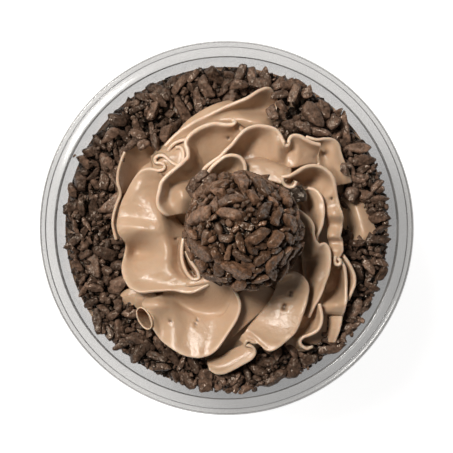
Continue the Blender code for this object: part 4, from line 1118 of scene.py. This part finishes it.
GLOSSY = (17.7, 9.2, 8.6, 2.2, 2, 25, 0.1)
# How thick a placed flake is, as a share of its width.
FLATNESS = 0.7
REACH_SIDES = 180
# From this layer on, flakes lie in sight on top of the ring.
TOP_LAYER = 2
# The ring is fuller to the lower right: higher by CROWD_LIFT and wider by CROWD_WIDE than across from it.
CROWD_TURN = 0.9
CROWD_LIFT = 1.1
CROWD_WIDE = 1.9
# Its outer edge waves in and out: waves all round, and where they start.
WAVE = 0.6
WAVES = ((7, 0), (17, 1))


def perched_flake(rng, x, y, height, half, wide, turn, tilt):
    """A placed flake: its points, its quads, and its spot, way, half length and half width."""
    up = unit(np.array((rng.normal(0, tilt), rng.normal(0, tilt), 1.0)))
    want = np.array((math.cos(math.radians(turn)), math.sin(math.radians(turn)), 0.0))
    first = unit(want - up * (want @ up))
    spot = settle(np.array((x, y, height)))
    ways, quads = GRIDS[7]
    shape = rough_chip(ways, rng, (half, wide, wide * FLATNESS)) @ np.stack([first, np.cross(up, first), up])
    return shape + spot, quads, (spot, first, half, wide)


def ring_spot(rng, layer, height, half, wide, turn, edge):
    """A random spot for a flake of a layer, between the edge of the cream and the wall."""
    crowd = 0.5 + 0.5 * math.cos(turn + CROWD_TURN)
    lift = BED + (height + rng.uniform(-0.6, 0.8) + CROWD_LIFT * crowd * (layer >= TOP_LAYER))
    outer = wall_radius(lift) - 0.55 * wide - 0.2 - CROWD_WIDE * (1 - crowd) * (layer > 0)
    outer += WAVE * sum(math.sin(waves * turn + start) for waves, start in WAVES) * (layer >= TOP_LAYER)
    radius = rng.uniform(edge - 1.8 + min(layer, TOP_LAYER), outer + half)
    radius = min(radius, outer - 0.9 * (layer > TOP_LAYER))
    return np.array((radius * math.cos(turn), radius * math.sin(turn), lift))


def build_flake_ring():
    rng = np.random.default_rng(12)
    look = chocolate_look("ring_flakes", (0.010, 0.0055, 0.0036), (0.140, 0.084, 0.057), 0.60)
    wet = chocolate_look("wet_flake", (0.012, 0.007, 0.005), (0.11, 0.08, 0.06), 0.2, 0.1, 1300.0, 1.5)
    reach = reach_by_angle(np.zeros(2), REACH_SIDES, 4.0)
    heaps = {name: Heap() for name, *_ in RING_LAYERS}
    taken = []
    for placed in PERCHED:
        shape, quads, body = perched_flake(rng, *placed)
        taken.append(body)
        heaps["flakes_large"].add(shape, quads, rng.uniform(0.6, 1.0))
    single = Heap()
    single.add(*perched_flake(rng, *GLOSSY)[:2], 0.4)
    single.build("flake_glossy", wet, "flake_ring", "ring_chocolate")
    for layer, (name, grid, halves, shares, tries, height, tilt, slack, tone) in enumerate(RING_LAYERS):
        if layer <= TOP_LAYER:
            room = Room()
            for body in taken:
                room.take(*body)
        ways, quads = GRIDS[grid]
        for _ in range(tries):
            turn = rng.uniform(0, 2 * math.pi)
            edge = reach[int(turn / (2 * math.pi) * REACH_SIDES) % REACH_SIDES]
            half = rng.uniform(*halves)
            wide = half * rng.uniform(*shares)
            spot = ring_spot(rng, layer, height, half, wide, turn, edge)
            bare = (math.hypot(spot[0] - x, spot[1] - y) < size + 0.45 * half for x, y, size in BARE_SPOTS)
            if layer > 0 and any(bare):
                continue
            up = np.array((rng.normal(0, tilt), rng.normal(0, tilt), 1.0))
            axes = flake_axes(up, rng.uniform(0, 6.28))
            if not room.take(spot, axes[0], half, wide, slack):
                continue
            size = (half, wide, wide * rng.uniform(0.6, 0.95))
            shape = rough_chip(ways, rng, size) @ axes + spot
            limit = (wall_radius(shape[:, 2]) - 0.12) / np.hypot(shape[:, 0], shape[:, 1])
            shape[:, :2] *= np.minimum(1, limit).min()
            heaps[name].add(shape, quads, tone * rng.uniform(0.35, 1.1))
    for name, heap in heaps.items():
        heap.build(name, look, "flake_ring", "ring_chocolate")


BALL_LAYERS = (
    # grid, half lengths, widths as a share of them, sunk by, tries, slack, tone
    # The lower tones of the deeper layers are painted shade between the flakes over them.
    (7, (2.9, 4.1), (0.30, 0.50), 0.0, 110, 0.92, 1.0),
    (7, (1.8, 3.0), (0.36, 0.60), 0.1, 2500, 0.90, 1.0),
    (5, (1.0, 1.8), (0.45, 0.75), 0.5, 4000, 0.86, 0.9),
    (4, (0.6, 1.0), (0.60, 0.90), 1.1, 5000, 0.84, 0.6),
)
# How deep the core lies under the ball's surface.
COATING = 2.6
# About the most that a flake's half thickness comes to, and how far it may stand out of the surface.
THICKEST = 1.2
PROUD = 0.7


def build_ball():
    rng = np.random.default_rng(7)
    look = chocolate_look("ball_flakes", (0.007, 0.0035, 0.002), (0.148, 0.078, 0.045), 0.52)
    heap, room = Heap(), Room()
    for grid, halves, shares, sunk, tries, slack, tone in BALL_LAYERS:
        ways, quads = GRIDS[grid]
        for _ in range(tries):
            way = unit(rng.normal(size=3))
            half = rng.uniform(*halves)
            wide = half * rng.uniform(*shares)
            axes = flake_axes(way + rng.normal(0, 0.14, 3), rng.uniform(0, 6.28))
            deep = min(THICKEST, wide)
            spot = BALL + way * (BALL_RADIUS - deep * 0.8 - sunk + rng.uniform(-0.4, 0.3))
            if not room.take(spot, axes[0], half, wide, slack):
                continue
            away = rough_chip(ways, rng, (half, wide, deep * rng.uniform(0.9, 1.1))) @ axes + spot - BALL
            shape = BALL + away * np.minimum(1, (BALL_RADIUS + PROUD) / np.linalg.norm(away, axis=1))[:, None]
            shape[:, 2] = np.minimum(shape[:, 2], ball_high[2] / MM)
            heap.add(shape, quads, tone * rng.uniform(0.35, 1.1))
    heap.build("ball_coating", look, "brigadeiro", "ball_chocolate")
    # The core takes the darkest tone: painted shade in the gaps between the flakes.
    ways, quads = ball_grid(24)
    core = BALL + ways * (BALL_RADIUS - COATING + 0.3 * lumps(ways, 0.25, 2))[:, None]
    put(make_piece("ball_core", core, quads, look, tone=np.zeros(len(core))), "brigadeiro")


# Stage

LIGHTS = (
    # name, place in metres, energy, size, colour
    ("key", (-0.325, 0.27, 0.86), 9.4, 0.24, (1.0, 0.97, 0.93)),
    ("window", (-0.75, 0.55, 0.85), 2.8, 1.1, (1.0, 0.98, 0.95)),
)
AIM = (0, 0, 0.07)
FLOOR_HALF = 20000.0


def build_floor():
    made, tree = new_material("pale_floor")
    colour = ramp(tree, noise(tree, 8.0), [(0.3, (0.86, 0.86, 0.86)), (0.7, (0.90, 0.90, 0.90))])
    set_shader(tree, Base_Color=colour, Roughness=0.8, Emission_Color=(1.0, 1.0, 1.0), Emission_Strength=0.88)
    corners = FLOOR_HALF * np.array(((-1, -1, 0), (1, -1, 0), (1, 1, 0), (-1, 1, 0)))
    floor = make_piece("floor", corners, np.array([(0, 1, 2, 3)]), made)


def build_lights():
    for name, spot, energy, size, colour in LIGHTS:
        data = bpy.data.lights.new(name, "AREA")
        data.shape = "DISK"
        data.energy = energy
        data.size = size
        data.color = colour
        made = add_object(name, data)
        made.location = spot
        made.rotation_euler = Vector(np.subtract(AIM, spot)).to_track_quat("-Z", "Y").to_euler()
    world = bpy.data.worlds.new("studio")
    world.use_nodes = True
    sky = world.node_tree.nodes["Background"]
    sky.inputs["Color"].default_value = (1.0, 0.98, 0.95, 1.0)
    sky.inputs["Strength"].default_value = 0.11
    bpy.context.scene.world = world
    bpy.context.scene.view_settings.view_transform = "Standard"


def build_camera():
    data = bpy.data.cameras.new("camera")
    data.sensor_width = 36.0
    data.lens = data.sensor_width * CAMERA_HEIGHT / FIELD
    data.shift_y = 0.003
    data.clip_start = 0.01
    data.clip_end = 20.0
    camera = add_object("camera", data)
    camera.location = (0.0, 0.0, (RIM + CAMERA_HEIGHT) * MM)
    bpy.context.scene.camera = camera


build_cup()
build_fold_shades()
build_filling()
# The last colour is the painted light on the sheets' lips.
cream = cream_look("swirl_cream", (0.44, 0.295, 0.19), (0.50, 0.335, 0.22), (0.66, 0.49, 0.36))
build_swirl(cream)
build_mound(cream)
build_flake_ring()
build_ball()
build_floor()
build_lights()
build_camera()
